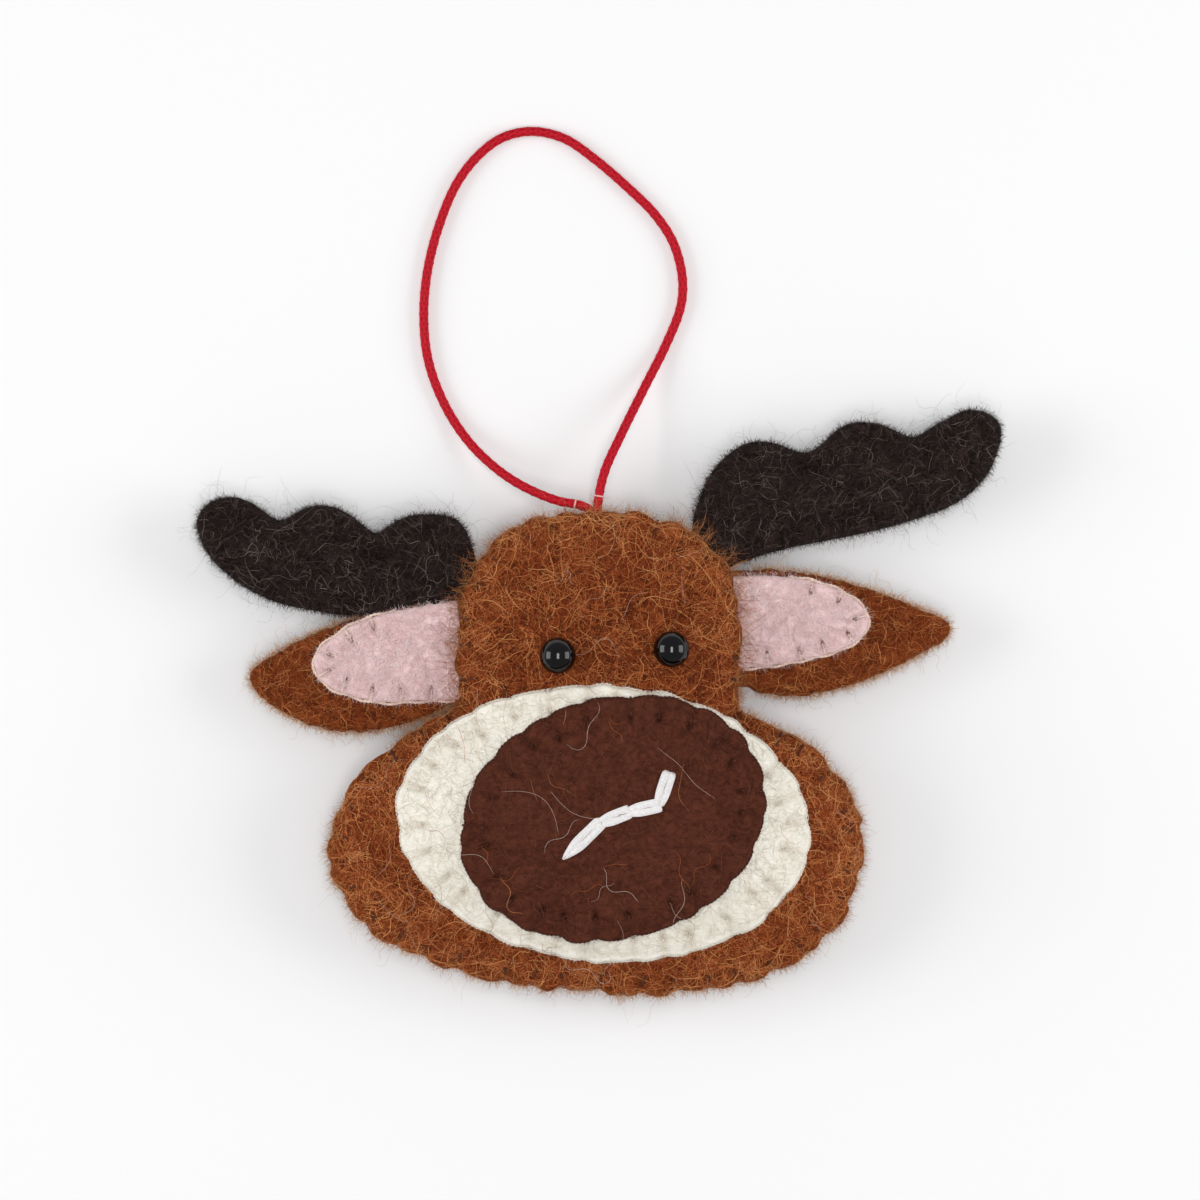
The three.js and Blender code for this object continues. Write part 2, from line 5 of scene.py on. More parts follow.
import bpy
import numpy as np
from mathutils import Matrix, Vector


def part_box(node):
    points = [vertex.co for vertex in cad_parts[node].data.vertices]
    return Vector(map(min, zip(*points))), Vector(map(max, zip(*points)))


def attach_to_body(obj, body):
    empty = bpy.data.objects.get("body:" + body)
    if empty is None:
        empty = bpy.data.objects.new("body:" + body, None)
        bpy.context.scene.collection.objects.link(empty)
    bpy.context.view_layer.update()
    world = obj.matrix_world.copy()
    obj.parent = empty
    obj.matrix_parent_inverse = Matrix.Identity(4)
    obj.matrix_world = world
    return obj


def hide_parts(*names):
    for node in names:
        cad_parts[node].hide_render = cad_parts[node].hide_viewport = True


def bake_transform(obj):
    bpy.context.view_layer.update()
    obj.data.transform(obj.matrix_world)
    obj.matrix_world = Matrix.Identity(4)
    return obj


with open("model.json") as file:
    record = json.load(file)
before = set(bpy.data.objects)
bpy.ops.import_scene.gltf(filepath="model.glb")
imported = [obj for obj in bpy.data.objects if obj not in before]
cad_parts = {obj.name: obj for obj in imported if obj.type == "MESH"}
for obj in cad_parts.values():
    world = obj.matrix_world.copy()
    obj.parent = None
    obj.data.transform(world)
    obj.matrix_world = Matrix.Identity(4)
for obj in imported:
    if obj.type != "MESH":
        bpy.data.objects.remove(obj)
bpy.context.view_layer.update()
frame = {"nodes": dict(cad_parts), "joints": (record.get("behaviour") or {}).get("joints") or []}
scene = bpy.context.scene
mm = 0.001
tableGap, feltGap = 0.02, 0.03
upwards = np.array([0.0, 0.0, 1.0])
joints = {joint["name"]: joint for joint in frame["joints"]}
print("frame loaded with", len(frame["nodes"]), "nodes")


# Places from the frame, in millimetres

def nodeBox(node):
    return np.array(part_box(node)) / mm


def pivotOf(jointName):
    return np.array(joints[jointName]["pos_m"]) / mm


# Small maths; spots are places in a plane, given as arrays of x and y

def smoothStep(value):
    value = np.clip(value, 0, 1)
    return value * value * (3 - 2 * value)


def far(arrows):
    return np.linalg.norm(arrows, axis=-1)


def unit(arrows, soft=0.0):
    return arrows / (far(arrows)[..., None] + soft)


def angleOf(spots):
    return np.arctan2(spots[..., 1], spots[..., 0])


def rays(angles):
    return np.stack([np.cos(angles), np.sin(angles)], axis=-1)


def rightOf(arrows):
    return unit(np.stack([arrows[:, 1], -arrows[:, 0]], axis=-1))


def raised(spots, height):
    return np.concatenate([spots, np.broadcast_to(height, spots.shape[:-1])[..., None]], axis=-1)


# values given round a whole turn, read at other angles
def roundAt(angles, knownAngles, values):
    return np.interp(angles, knownAngles, values, period=2 * np.pi)


# a grid's value at a place counted in its steps, read between the four nearest points
def readGrid(grid, place):
    place = np.clip(place, 0, np.array(grid.shape) - 1 - 1e-6)
    corner = place.astype(int)
    i, j = np.moveaxis(corner, -1, 0)
    a, b = np.moveaxis(place - corner, -1, 0)
    return ((1 - a) * ((1 - b) * grid[i, j] + b * grid[i, j + 1])
            + a * ((1 - b) * grid[i + 1, j] + b * grid[i + 1, j + 1]))


# waves of about one length that run every way, added up and scaled to a spread of 1
def ripple(points, wavelength, seed):
    waves = 24
    draw = np.random.default_rng(seed)
    ways = unit(draw.normal(size=(waves, points.shape[-1])))
    ways *= 2 * np.pi / (wavelength * draw.uniform(0.7, 1.4, (waves, 1)))
    phases = draw.uniform(0, 2 * np.pi, waves)
    return np.sin(points @ ways.T + phases).sum(axis=-1) / np.sqrt(waves / 2)


# cubic curve from a start to an end with two pulls
def pulledCurve(corners, samples):
    corners = np.array(corners, float)
    share = np.linspace(0, 1, samples)[:, None]
    rest = 1 - share
    return (rest ** 3 * corners[0] + 3 * rest ** 2 * share * corners[1]
            + 3 * rest * share ** 2 * corners[2] + share ** 3 * corners[3])


# a smooth line through points: between two points a cubic whose end slopes come from their neighbours
def smoothLine(points, samples):
    points = np.array(points, float)
    gaps = np.sqrt(far(np.diff(points, axis=0)))
    times = np.concatenate([[0], np.cumsum(gaps)])
    slopes = np.gradient(points, times, axis=0)
    wanted = np.linspace(0, times[-1], samples)
    piece = np.clip(np.searchsorted(times, wanted, side="right") - 1, 0, len(gaps) - 1)
    span = gaps[piece][:, None]
    part = ((wanted - times[piece]) / gaps[piece])[:, None]
    square, cube = part ** 2, part ** 3
    return ((2 * cube - 3 * square + 1) * points[piece] + (cube - 2 * square + part) * span * slopes[piece]
            + (3 * square - 2 * cube) * points[piece + 1] + (cube - square) * span * slopes[piece + 1])


# the way travelled along a line at each of its points
def travelled(line):
    return np.concatenate([[0], np.cumsum(far(np.diff(line, axis=0)))])


# points of a line at shares of its length
def pointsAlong(line, shares):
    way = travelled(line)
    return np.stack([np.interp(np.asarray(shares) * way[-1], way, values) for values in line.T], axis=1)


def evenSteps(line, samples):
    return pointsAlong(line, np.linspace(0, 1, samples))


# Meshes

def linkObject(name, data):
    thing = bpy.data.objects.new(name, data)
    scene.collection.objects.link(thing)
    return thing


# puts arrays of points, four-sided and three-sided faces into a mesh, with its faces outwards
def addPiece(name, points, faces, material, shadeMarks=None, tones=None, cells=None):
    quads, fans = faces
    flat = np.array(points, float).reshape(-1, 3)
    flat[:, 2] = np.maximum(flat[:, 2], tableGap)
    halves = np.concatenate([quads[:, [0, 1, 2]], quads[:, [0, 2, 3]], fans])
    first, second, third = (flat[halves[:, k]] for k in range(3))
    if np.einsum("ij,ij->", first, np.cross(second, third)) < 0:
        quads, fans = quads[:, ::-1], fans[:, ::-1]
    corners = np.concatenate([quads.ravel(), fans.ravel()]).astype(np.int32)
    starts = np.concatenate([4 * np.arange(len(quads)), 4 * len(quads) + 3 * np.arange(len(fans))])
    mesh = bpy.data.meshes.new(name)
    mesh.vertices.add(len(flat))
    mesh.vertices.foreach_set("co", (flat * mm).astype(np.float32).ravel())
    mesh.loops.add(len(corners))
    mesh.loops.foreach_set("vertex_index", corners)
    mesh.polygons.add(len(starts))
    mesh.polygons.foreach_set("loop_start", starts.astype(np.int32))
    mesh.update(calc_edges=True)
    mesh.shade_smooth()
    # shade marks go on the points as an attribute that the materials darken as painted shade
    if shadeMarks is not None:
        paintedShade = mesh.attributes.new("paintedShade", "FLOAT", "POINT")
        paintedShade.data.foreach_set("value", np.asarray(shadeMarks, np.float32).ravel())
    if tones is not None:
        tone = mesh.attributes.new("tone", "FLOAT_COLOR", "POINT")
        full = np.concatenate([tones, np.ones((len(tones), 1))], axis=1)
        tone.data.foreach_set("color", full.astype(np.float32).ravel())
    if cells is not None:
        layer = mesh.uv_layers.new(name="OFBake")
        layer.data.foreach_set("uv", cells[corners].astype(np.float32).ravel())
    mesh.materials.append(material)
    return linkObject(name, mesh)


# from a piece's own plane to the part's frame: a place on the head is only moved, and one on a blade
# is turned about the blade's pivot, mirrored on the left
def placed(stand, points):
    if stand is None:
        return points + headMiddle
    cosine, sine = rays(stand["rotation"])
    x, y = points[..., 0], stand["side"] * points[..., 1]
    return stand["pivot"] + np.stack([cosine * x - sine * y, sine * x + cosine * y, points[..., 2]], axis=-1)


# a piece on the head rides the head, and a blade's piece keeps its place; the model's node it stands for is
# hidden
def attach(piece, stand, node=None):
    if stand is None:
        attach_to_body(piece, "head")
    else:
        outward = np.append(stand["outward"], 0)
        start = (stand["pivot"] - outward * 0.4) * mm
        end = (stand["pivot"] + outward * stand["reach"]) * mm
        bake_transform(piece)
    if node is not None:
        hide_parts(node)


# rings of points, each joined to the next all the way round and closed by a point amid each end ring
def ringPiece(name, stand, points, material, shadeMarks=None, gap=feltGap):
    rings, spokes = points.shape[:2]
    shadeMarks = np.zeros((rings, spokes)) if shadeMarks is None else shadeMarks
    points = placed(stand, points)
    points[..., 2] = np.maximum(points[..., 2], gap)
    index = np.arange(rings * spokes).reshape(rings, spokes)
    beside = np.roll(index, -1, axis=1)
    quads = np.stack([index[:-1], index[1:], beside[1:], beside[:-1]], axis=-1).reshape(-1, 4)
    pole = np.full(spokes, rings * spokes)
    fans = np.concatenate([np.stack([pole, index[0], beside[0]], axis=-1),
                           np.stack([pole + 1, beside[-1], index[-1]], axis=-1)])
    closed = np.concatenate([points.reshape(-1, 3), points[[0, -1]].mean(axis=1)])
    allShadeMarks = np.concatenate([shadeMarks.ravel(), shadeMarks[[0, -1]].mean(axis=1)])
    return addPiece(name, closed, (quads, fans), material, allShadeMarks)


# the ways across a path and up from it at each of its points
def pathFrame(paths):
    along = unit(np.gradient(paths, axis=-2), 1e-9)
    across = unit(np.cross(along, upwards), 1e-9)
    return across, np.cross(across, along)


# tubes along paths: at each step a ring of points stands round the path, across its way
def tubePoints(paths, radii, sides):
    across, rise = (way[:, :, None, :] for way in pathFrame(paths))
    cosine, sine = rays(np.arange(sides) * 2 * np.pi / sides).T[..., None]
    return paths[:, :, None, :] + radii[..., None] * (cosine * across + sine * rise)


def tubeFaces(count, steps, sides):
    index = np.arange(count * steps * sides).reshape(count, steps, sides)
    beside = np.roll(index, -1, axis=2)
    quads = np.stack([index[:, :-1], beside[:, :-1], beside[:, 1:], index[:, 1:]], axis=-1).reshape(-1, 4)
    spread = np.arange(1, sides - 1)
    hub = np.zeros_like(spread)
    startFan = index[:, 0][:, np.stack([hub, spread + 1, spread], axis=-1)].reshape(-1, 3)
    endFan = index[:, -1][:, np.stack([hub, spread, spread + 1], axis=-1)].reshape(-1, 3)
    return quads, np.concatenate([startFan, endFan])


# one piece of sets of round threads, each set with its radius and number of sides; the ends may be thinner
def threadPiece(name, stand, sets, material, tip=1.0):
    points, quads, fans = [], [], []
    count = 0
    for paths, radius, sides in sets:
        ends = np.ones(paths.shape[1])
        ends[[0, -1]] = tip
        radii = np.broadcast_to(radius * ends[:, None], paths.shape[:2] + (1,))
        setQuads, setFans = tubeFaces(*paths.shape[:2], sides)
        points.append(tubePoints(paths, radii, sides).reshape(-1, 3))
        quads.append(setQuads + count)
        fans.append(setFans + count)
        count += len(points[-1])
    faces = np.concatenate(quads), np.concatenate(fans)
    return addPiece(name, placed(stand, np.concatenate(points)), faces, material)


# a thread of two plies: each ply winds round the path at half its own width, a set length to a turn
def pliedPaths(path, spread, pitch):
    across, rise = pathFrame(path)
    turns = 2 * np.pi * (travelled(path) / pitch + np.arange(2)[:, None] / 2)
    return path + spread * (np.cos(turns)[..., None] * across + np.sin(turns)[..., None] * rise)


# a piece of single runs of thread and of a plied thread along a line, in the felt's own sizes
def sewnThread(name, stand, runs, line, felt, material):
    plies = pliedPaths(line, felt["plySpread"], felt["plyPitch"])
    return threadPiece(name, stand, [(runs, felt["runRadius"], 6), (plies, felt["plyRadius"], 5)], material)


# smooth runs of thread through stops, each stop given as the spots and heights of all the runs
def runsThrough(stops, samples):
    return np.stack([smoothLine(run, samples) for run in np.stack([raised(*stop) for stop in stops], axis=1)])


# Materials

# one output of a node, so that shader sums are written as sums
class Wire:
    def __init__(self, tree, socket=None):
        self.tree = tree
        self.socket = socket

    # any node: its type, the values or links of its inputs, the output to use, then its settings
    def make(self, kind, inputs=None, output=0, **settings):
        node = self.tree.nodes.new("ShaderNode" + kind)
        for name, value in settings.items():
            setattr(node, name, value)
        for name, value in (inputs or {}).items():
            if isinstance(value, Wire):
                self.tree.links.new(value.socket, node.inputs[name])
            else:
                node.inputs[name].default_value = value
        return Wire(self.tree, node.outputs[output] if len(node.outputs) else None)

    def maths(self, operation, first, second):
        return self.make("Math", {0: first, 1: second}, operation=operation)

    def __add__(self, other):
        return self.maths("ADD", self, other)

    def __rsub__(self, other):
        return self.maths("SUBTRACT", other, self)

    def __mul__(self, other):
        return self.maths("MULTIPLY", self, other)

    # share of the way from low to high, held between 0 and 1
    def between(self, low, high):
        return self.make("MapRange", {0: self, 1: low, 2: high, 3: 0.0, 4: 1.0}, clamp=True)

    # colour from first to second by this share
    def blend(self, first, second):
        return self.make("Mix", {0: self, 6: first, 7: second}, 2, data_type="RGBA")

    # noise at this place, spread between two of its levels
    def noise(self, scale, detail, low, high):
        return self.make("TexNoise", {"Vector": self, "Scale": scale, "Detail": detail}).between(low, high)


def newMaterial(name):
    material = bpy.data.materials.new(name)
    material.use_nodes = True
    material.node_tree.nodes.clear()
    return material, Wire(material.node_tree)


def finished(base, inputs):
    base.make("OutputMaterial", {"Surface": base.make("BsdfPrincipled", inputs)})


def bumped(base, strength, distance, height):
    return base.make("Bump", {"Strength": strength, "Distance": distance, "Height": height})


def withAlpha(colour):
    return (*colour, 1.0)


# felt: fine crossing strands over soft tufts, painted shade in their gaps and the stitch holes, slow clouds
# of lighter wool
def feltMaterial(name, shades, **changes):
    # hole is the colour of the painted shade in stitch holes and grooves, and its share says how strongly it
    # shows
    look = {"strandShow": 0.6, "cloudShow": 0.1, "hole": (0.03, 0.008, 0.003), "holeShow": 0.75,
            "relief": 0.0003, **changes}
    dark, middle, light = (withAlpha(shade) for shade in shades)
    material, base = newMaterial(name)
    place = base.make("TexCoord", output="Object")
    drift = base.make("TexNoise", {"Vector": place, "Scale": 520.0, "Detail": 2.0}, "Color")
    bent = base.make("VectorMath", {0: drift, 1: (0.0022,) * 3, 2: place}, operation="MULTIPLY_ADD")
    strands = None
    for turn in (0.35, 1.2, 2.0, 2.8):
        laid = base.make("Mapping", {"Vector": bent, "Rotation": (0.3, 0.2, turn), "Scale": (0.1, 1.0, 0.6)})
        strand = base.make("TexNoise", {"Vector": laid, "Scale": 5000.0, "Detail": 1.5})
        strands = strand if strands is None else base.maths("MAXIMUM", strands, strand)
    strands = strands.between(0.54, 0.78)
    tuft = bent.noise(1250.0, 3.0, 0.34, 0.64)
    # low tufts take the dark shade: painted shade in the gaps between tufts
    colour = (strands * look["strandShow"]).blend(tuft.blend(dark, middle), light)
    colour = (place.noise(130.0, 3.0, 0.32, 0.68) * look["cloudShow"]).blend(colour, light)
    # the points' marks paint the stitch holes and grooves with the hole colour as painted shade
    hole = base.make("Attribute", output="Fac", attribute_name="paintedShade")
    colour = (hole * look["holeShow"]).blend(colour, withAlpha(look["hole"]))
    normal = bumped(base, 0.8, look["relief"], strands * 0.6 + tuft * 0.6)
    finished(base, {"Base Color": colour, "Normal": normal, "Roughness": 0.95, "Specular IOR Level": 0.06,
                    "Sheen Weight": 0.03, "Sheen Roughness": 0.5, "Sheen Tint": light})
    return material


# wool fibres: each has its own colour, kept on its points
def fibreMaterial(name):
    material, base = newMaterial(name)
    tone = base.make("Attribute", output="Color", attribute_name="tone")
    finished(base, {"Base Color": tone, "Roughness": 0.8, "Specular IOR Level": 0.1})
    return material


# thread: fine lengthwise streaks in two shades
def threadMaterial(name, dark, light, roughness, sheen):
    material, base = newMaterial(name)
    place = base.make("TexCoord", output="Object")
    streak = place.noise(3800.0, 2.0, 0.34, 0.66)
    colour = streak.blend(withAlpha(dark), withAlpha(light))
    finished(base, {
        "Base Color": colour, "Normal": bumped(base, 0.4, 0.00006, streak), "Roughness": roughness,
        "Specular IOR Level": 0.3, "Sheen Weight": sheen, "Sheen Roughness": 0.4})
    return material


# braided cord: painted light on the strand crowns, painted shade in the dips between, from the points' marks
def cordMaterial(name, dark, light):
    material, base = newMaterial(name)
    place = base.make("TexCoord", output="Object")
    yarn = place.noise(5200.0, 2.0, 0.35, 0.65)
    dip = base.make("Attribute", output="Fac", attribute_name="paintedShade")
    crown = ((1 - dip) * 0.75 + yarn * 0.25).between(0.0, 1.0)
    colour = crown.blend(withAlpha(dark), withAlpha(light))
    finished(base, {"Base Color": colour, "Normal": bumped(base, 0.35, 0.00005, yarn), "Roughness": 0.6,
                    "Specular IOR Level": 0.15})
    return material


# bead: black glass, a little duller where it was handled
def beadMaterial(name):
    material, base = newMaterial(name)
    place = base.make("TexCoord", output="Object")
    smear = place.noise(700.0, 3.0, 0.45, 0.75)
    finished(base, {"Base Color": (0.001, 0.001, 0.0012, 1.0), "Roughness": smear * 0.05 + 0.09, "IOR": 1.45})
    return material


# each felt's first shade gives the painted shade in its tufts' gaps, and its hole colour the painted shade in
# its stitch holes
brownFelt = feltMaterial("brownFelt", ((0.075, 0.0135, 0.0036), (0.23, 0.048, 0.0122), (0.45, 0.137, 0.037)))
creamFelt = feltMaterial("creamFelt", ((0.85, 0.80, 0.69), (0.925, 0.885, 0.79), (0.95, 0.93, 0.87)),
                         hole=(0.34, 0.23, 0.13), holeShow=0.7, strandShow=0.5, relief=0.0001)
cocoaFelt = feltMaterial("cocoaFelt", ((0.055, 0.014, 0.008), (0.105, 0.029, 0.016), (0.17, 0.056, 0.034)),
                         hole=(0.012, 0.004, 0.003), strandShow=0.35, relief=0.0002)
pinkFelt = feltMaterial("pinkFelt", ((0.82, 0.59, 0.585), (0.87, 0.645, 0.64), (0.91, 0.70, 0.695)),
                        hole=(0.16, 0.06, 0.055), holeShow=0.9, strandShow=0.5, cloudShow=0.04,
                        relief=0.00016)
charcoalFelt = feltMaterial("charcoalFelt", (
    (0.008, 0.005, 0.0045), (0.03, 0.018, 0.0165), (0.085, 0.062, 0.057)), strandShow=0.45, cloudShow=0.03)
stuffingWool = feltMaterial("stuffingWool", ((0.7, 0.69, 0.65), (0.85, 0.84, 0.8), (0.9, 0.9, 0.88)))
woolFibre = fibreMaterial("woolFibre")
brownThread = threadMaterial("brownThread", (0.055, 0.013, 0.004), (0.14, 0.038, 0.012), 0.9, 0.0)
creamThread = threadMaterial("creamThread", (0.70, 0.60, 0.48), (0.88, 0.82, 0.73), 0.7, 0.1)
peachThread = threadMaterial("peachThread", (0.78, 0.54, 0.42), (0.93, 0.79, 0.68), 0.7, 0.1)
cocoaThread = threadMaterial("cocoaThread", (0.06, 0.017, 0.01), (0.105, 0.031, 0.018), 0.85, 0.0)
charcoalThread = threadMaterial("charcoalThread", (0.01, 0.007, 0.006), (0.03, 0.022, 0.02), 0.8, 0.1)
blackThread = threadMaterial("blackThread", (0.004, 0.004, 0.004), (0.012, 0.012, 0.012), 0.7, 0.1)
paleBinding = threadMaterial("paleBinding", (0.80, 0.42, 0.40), (0.92, 0.66, 0.62), 0.6, 0.1)
whiteThread = threadMaterial("whiteThread", (0.78, 0.75, 0.75), (0.92, 0.90, 0.90), 0.5, 0.2)
# the cord's red runs from painted shade in the dips to painted light on the crowns
redCord = cordMaterial("redCord", (0.17, 0.001, 0.005), (0.66, 0.008, 0.024))
glassBead = beadMaterial("glassBead")
print("materials made")


# Head shape: a rounded dome above a wide oval, joined by a soft neck

head = {
    "domeY": 16.2, "domeHalfWidth": 17.8, "domeHalfHeight": 15.9, "domeSquareness": 2.5,
    "lobeY": -9.7, "lobeHalfWidth": 33.3, "lobeRise": 20.5, "lobeDrop": 18.5, "neckBlend": 2.5,
    "crownBlend": 14.0, "crownReturn": 6, "frontFullness": 2.4, "frontEdge": 0.8,
    "backFlatShare": 0.72, "backEdge": 1.6, "panelFelt": 1.8, "seamClose": 0.98, "seamRamp": 2.5,
    "seamOpen": {"ear_left_flex": 6.0, "ear_right_flex": 6.8, "antler_left_flex": 3.6,
                 "antler_right_flex": 4.0, "hanger_swing": 0.9},
    "stitches": 47, "holeInset": 2.1, "notch": 0.55, "notchWidth": 0.8, "groove": 0.45, "hole": 0.55,
    "holeSize": (0.5, 0.34), "spare": 0.22, "waver": 0.14, "waveLength": 7, "tuft": 0.10, "grain": 0.055,
    "spokes": 560, "topRings": 66, "edgeSteps": 7, "underRings": 16, "cutReach": 40, "cutWidth": 14,
    "cut": [[-180, 0.2], [-172, -0.4], [-163, 0.35], [-150, 0.15], [-145, 0.4], [-138, -0.1], [-130, -0.5],
            [-115, -0.55], [-100, -0.9], [-90, -0.9], [-83, -0.3], [-75, 0.3], [-68, 0.1], [-60, 0.9],
            [-50, 1.4], [-42, 1.5], [-35, 1.0], [-28, 0.3], [-20, -0.4], [-8, -0.15], [0, -0.3], [5, 0.3],
            [10, -0.2], [15, -0.7], [22, -0.3], [30, 0], [105, 0], [115, -0.6], [124, -0.8], [135, -0.4],
            [150, 0], [165, -0.3], [173, -0.9], [180, 0.2]],
}
panelFelt = head["panelFelt"]


# distance to an oval along the ray from its middle, below 0 inside
def ovalGap(spots, middleY, halfWidth, halfHeight, power):
    x, y = spots[..., 0], spots[..., 1] - middleY
    share = (np.abs(x / halfWidth) ** power + np.abs(y / halfHeight) ** power) ** (1 / power)
    return np.hypot(x, y) * (1 - 1 / np.maximum(share, 1e-6))


# the lesser of the dome's and the lobe's gaps, rounded where they meet
def headGap(spots, blend):
    dome = ovalGap(spots, head["domeY"], head["domeHalfWidth"], head["domeHalfHeight"],
                   head["domeSquareness"])
    lobeHeight = np.where(spots[..., 1] > head["lobeY"], head["lobeRise"], head["lobeDrop"])
    lobe = ovalGap(spots, head["lobeY"], head["lobeHalfWidth"], lobeHeight, 2)
    mix = np.clip(0.5 + 0.5 * (lobe - dome) / blend, 0, 1)
    return lobe + (dome - lobe) * mix - blend * mix * (1 - mix)


# how far the outline is from the middle at an angle, found by halving
def headReach(angles, blend):
    inside = np.zeros_like(angles)
    outside = np.full_like(angles, 100.0)
    for halving in range(40):
        middle = (inside + outside) / 2
        within = headGap(middle[:, None] * rays(angles), blend) < 0
        inside = np.where(within, middle, inside)
        outside = np.where(within, outside, middle)
    return inside


tableAngles = np.linspace(-np.pi, np.pi, 2881)
cutAngles, cutAmounts = np.transpose(head["cut"])
soften = np.exp(-((np.arange(-head["cutReach"], head["cutReach"] + 1) / head["cutWidth"]) ** 2))
handCut = np.pad(np.interp(tableAngles, np.radians(cutAngles), cutAmounts), head["cutReach"], mode="wrap")
handCut = np.convolve(handCut, soften / soften.sum(), "valid")
edgeTable = headReach(tableAngles, head["neckBlend"]) + handCut
smoothTable = headReach(tableAngles, head["crownBlend"]) + handCut
frontLow, frontHigh = nodeBox("head_front")
backHigh = nodeBox("head_back")[1]
topReach = headReach(np.array([np.pi / 2]), head["neckBlend"])[0]
headMiddle = np.array([(frontLow[0] + frontHigh[0]) / 2, frontHigh[1] - topReach, 0.0])
seamHeight = pivotOf("hanger_swing")[2]
frontCrown = frontHigh[2] - frontLow[2] - panelFelt
backRim = backHigh[2] - panelFelt


# a table's value at the angle of a spot
def tableAt(table, spots):
    return np.interp(angleOf(spots), tableAngles, table)


# share of the way from the middle to the edge: even lobes inside, the true outline at the edge
def headShare(spots):
    share, even = (np.minimum(1, far(spots) / tableAt(table, spots)) for table in (edgeTable, smoothTable))
    return even + (share - even) * share ** head["crownReturn"]


# distance inside the head's outline, below 0 outside it
def insideHead(spots):
    return tableAt(edgeTable, spots) - far(spots)


# how far the felt of an ear or antler, or the cord, holds the seam open: 1 over its root, 0 further off
def partedSeam(spots):
    parted = np.zeros(spots.shape[:-1])
    for joint, halfWidth in head["seamOpen"].items():
        away = far(spots - (pivotOf(joint) - headMiddle)[:2])
        parted = np.maximum(parted, 1 - smoothStep((away - halfWidth) / head["seamRamp"]))
    return parted


# how much a panel is pulled in to the seam, growing over the outer fifth
def seamPull(spots):
    return head["seamClose"] * smoothStep((headShare(spots) - 0.8) / 0.2) * (1 - partedSeam(spots))


# front panel's outside before the filling swells it: a crown that falls to the rim, pulled in to the seam
def plainFront(spots):
    crown = frontCrown * (1 - headShare(spots) ** head["frontFullness"]) ** head["frontEdge"]
    return frontLow[2] + panelFelt + crown - seamPull(spots)


# back panel's outside: flat on the table, rising to the rim and pulled up to the seam
def plainBack(spots):
    rise = np.maximum(0, headShare(spots) - head["backFlatShare"]) / (1 - head["backFlatShare"])
    return backRim * rise ** head["backEdge"] + seamPull(spots)


# Cloth: the two panels as one bag, blown up by its filling while the seam holds its edge

bag = {"side": 45, "scale": 0.02, "frames": 20, "most": 1.3, "backShare": 0.3}
bagCloth = {"quality": 6, "mass": 0.2, "tension_stiffness": 22.0, "compression_stiffness": 22.0,
            "bending_stiffness": 22.0 / 3, "vertex_group_mass": "seam", "use_pressure": True,
            "uniform_pressure_force": 3.0}


# square to disc: a point of the square (u, v) goes to (u sqrt(1 - v v / 2), v sqrt(1 - u u / 2))
def squareToDisc(square):
    return square * np.sqrt(1 - square[..., ::-1] ** 2 / 2)


# disc to square, the same rule turned round
def discToSquare(disc):
    plain, lean = 2 + disc ** 2 - disc[..., ::-1] ** 2, 2 * np.sqrt(2) * disc
    return 0.5 * np.sqrt(np.maximum(0, plain + lean)) - 0.5 * np.sqrt(np.maximum(0, plain - lean))


def blowUpBag():
    side = bag["side"]
    line = np.linspace(-1, 1, side)
    disc = squareToDisc(np.stack(np.meshgrid(line, line, indexing="ij"), axis=-1))
    flat = disc * tableAt(edgeTable, disc)[..., None]
    front = raised(flat, plainFront(flat) - panelFelt / 2)
    back = raised(flat, plainBack(flat) + panelFelt / 2)
    rim = np.ones((side, side), bool)
    rim[1:-1, 1:-1] = False
    front[rim, 2] = seamHeight
    frontIndex = np.arange(side * side).reshape(side, side)
    backIndex = frontIndex.copy()
    backIndex[~rim] = side * side + np.arange((side - 2) ** 2)
    points = np.concatenate([front.reshape(-1, 3), back[~rim]])
    quads = [np.stack([index[:-1, :-1], index[1:, :-1], index[1:, 1:], index[:-1, 1:]], axis=-1)
             for index in (frontIndex, backIndex)]
    quads = np.concatenate([quads[0], quads[1][..., ::-1]]).reshape(-1, 4)
    mesh = bpy.data.meshes.new("bagCloth")
    mesh.from_pydata((points * bag["scale"]).tolist(), [], quads.tolist())
    mesh.update()
    cloth = linkObject("bagCloth", mesh)
    held = cloth.vertex_groups.new(name="seam")
    held.add(frontIndex[rim].tolist(), 1.0, "REPLACE")
    settings = cloth.modifiers.new("filling", "CLOTH").settings
    for setting, value in bagCloth.items():
        setattr(settings, setting, value)
    settings.effector_weights.gravity = 0.0
    for step in range(1, bag["frames"] + 1):
        scene.frame_set(step)
    settled = cloth.evaluated_get(bpy.context.evaluated_depsgraph_get())
    moved = np.empty(len(points) * 3, np.float32)
    settled.data.vertices.foreach_get("co", moved)
    scene.frame_set(1)
    bpy.data.objects.remove(cloth)
    bpy.data.meshes.remove(mesh)
    lift = np.clip((moved.reshape(-1, 3) / bag["scale"] - points)[:, 2], -bag["most"], bag["most"])
    return lift[frontIndex], lift[backIndex]


frontLift, backLift = blowUpBag()
print("bag settled: front", frontLift.min().round(3), "to", frontLift.max().round(3),
      "back", backLift.min().round(3), "to", backLift.max().round(3))


# swelling at a spot, read from the cloth's grid
def swellAt(grid, spots):
    share = np.minimum(1, far(spots) / tableAt(edgeTable, spots))
    square = discToSquare(share[..., None] * rays(angleOf(spots)))
    return readGrid(grid, (square + 1) / 2 * (bag["side"] - 1))


# front panel's outside: its plain shape, its swelling, and hand-stuffed lumps that die out at the rim
def frontHeight(spots):
    lumps = 0.2 * ripple(spots, 13, 3) + 0.08 * ripple(spots, 5, 4)
    return plainFront(spots) + swellAt(frontLift, spots) + lumps * (1 - headShare(spots) ** 6)


def backHeight(spots):
    return np.maximum(0.0, plainBack(spots) + np.maximum(0, swellAt(backLift, spots)) * bag["backShare"])


# Edges with hand stitches

# the spread at a disc's rim grows with this power of the way out to it
rimPower = 14


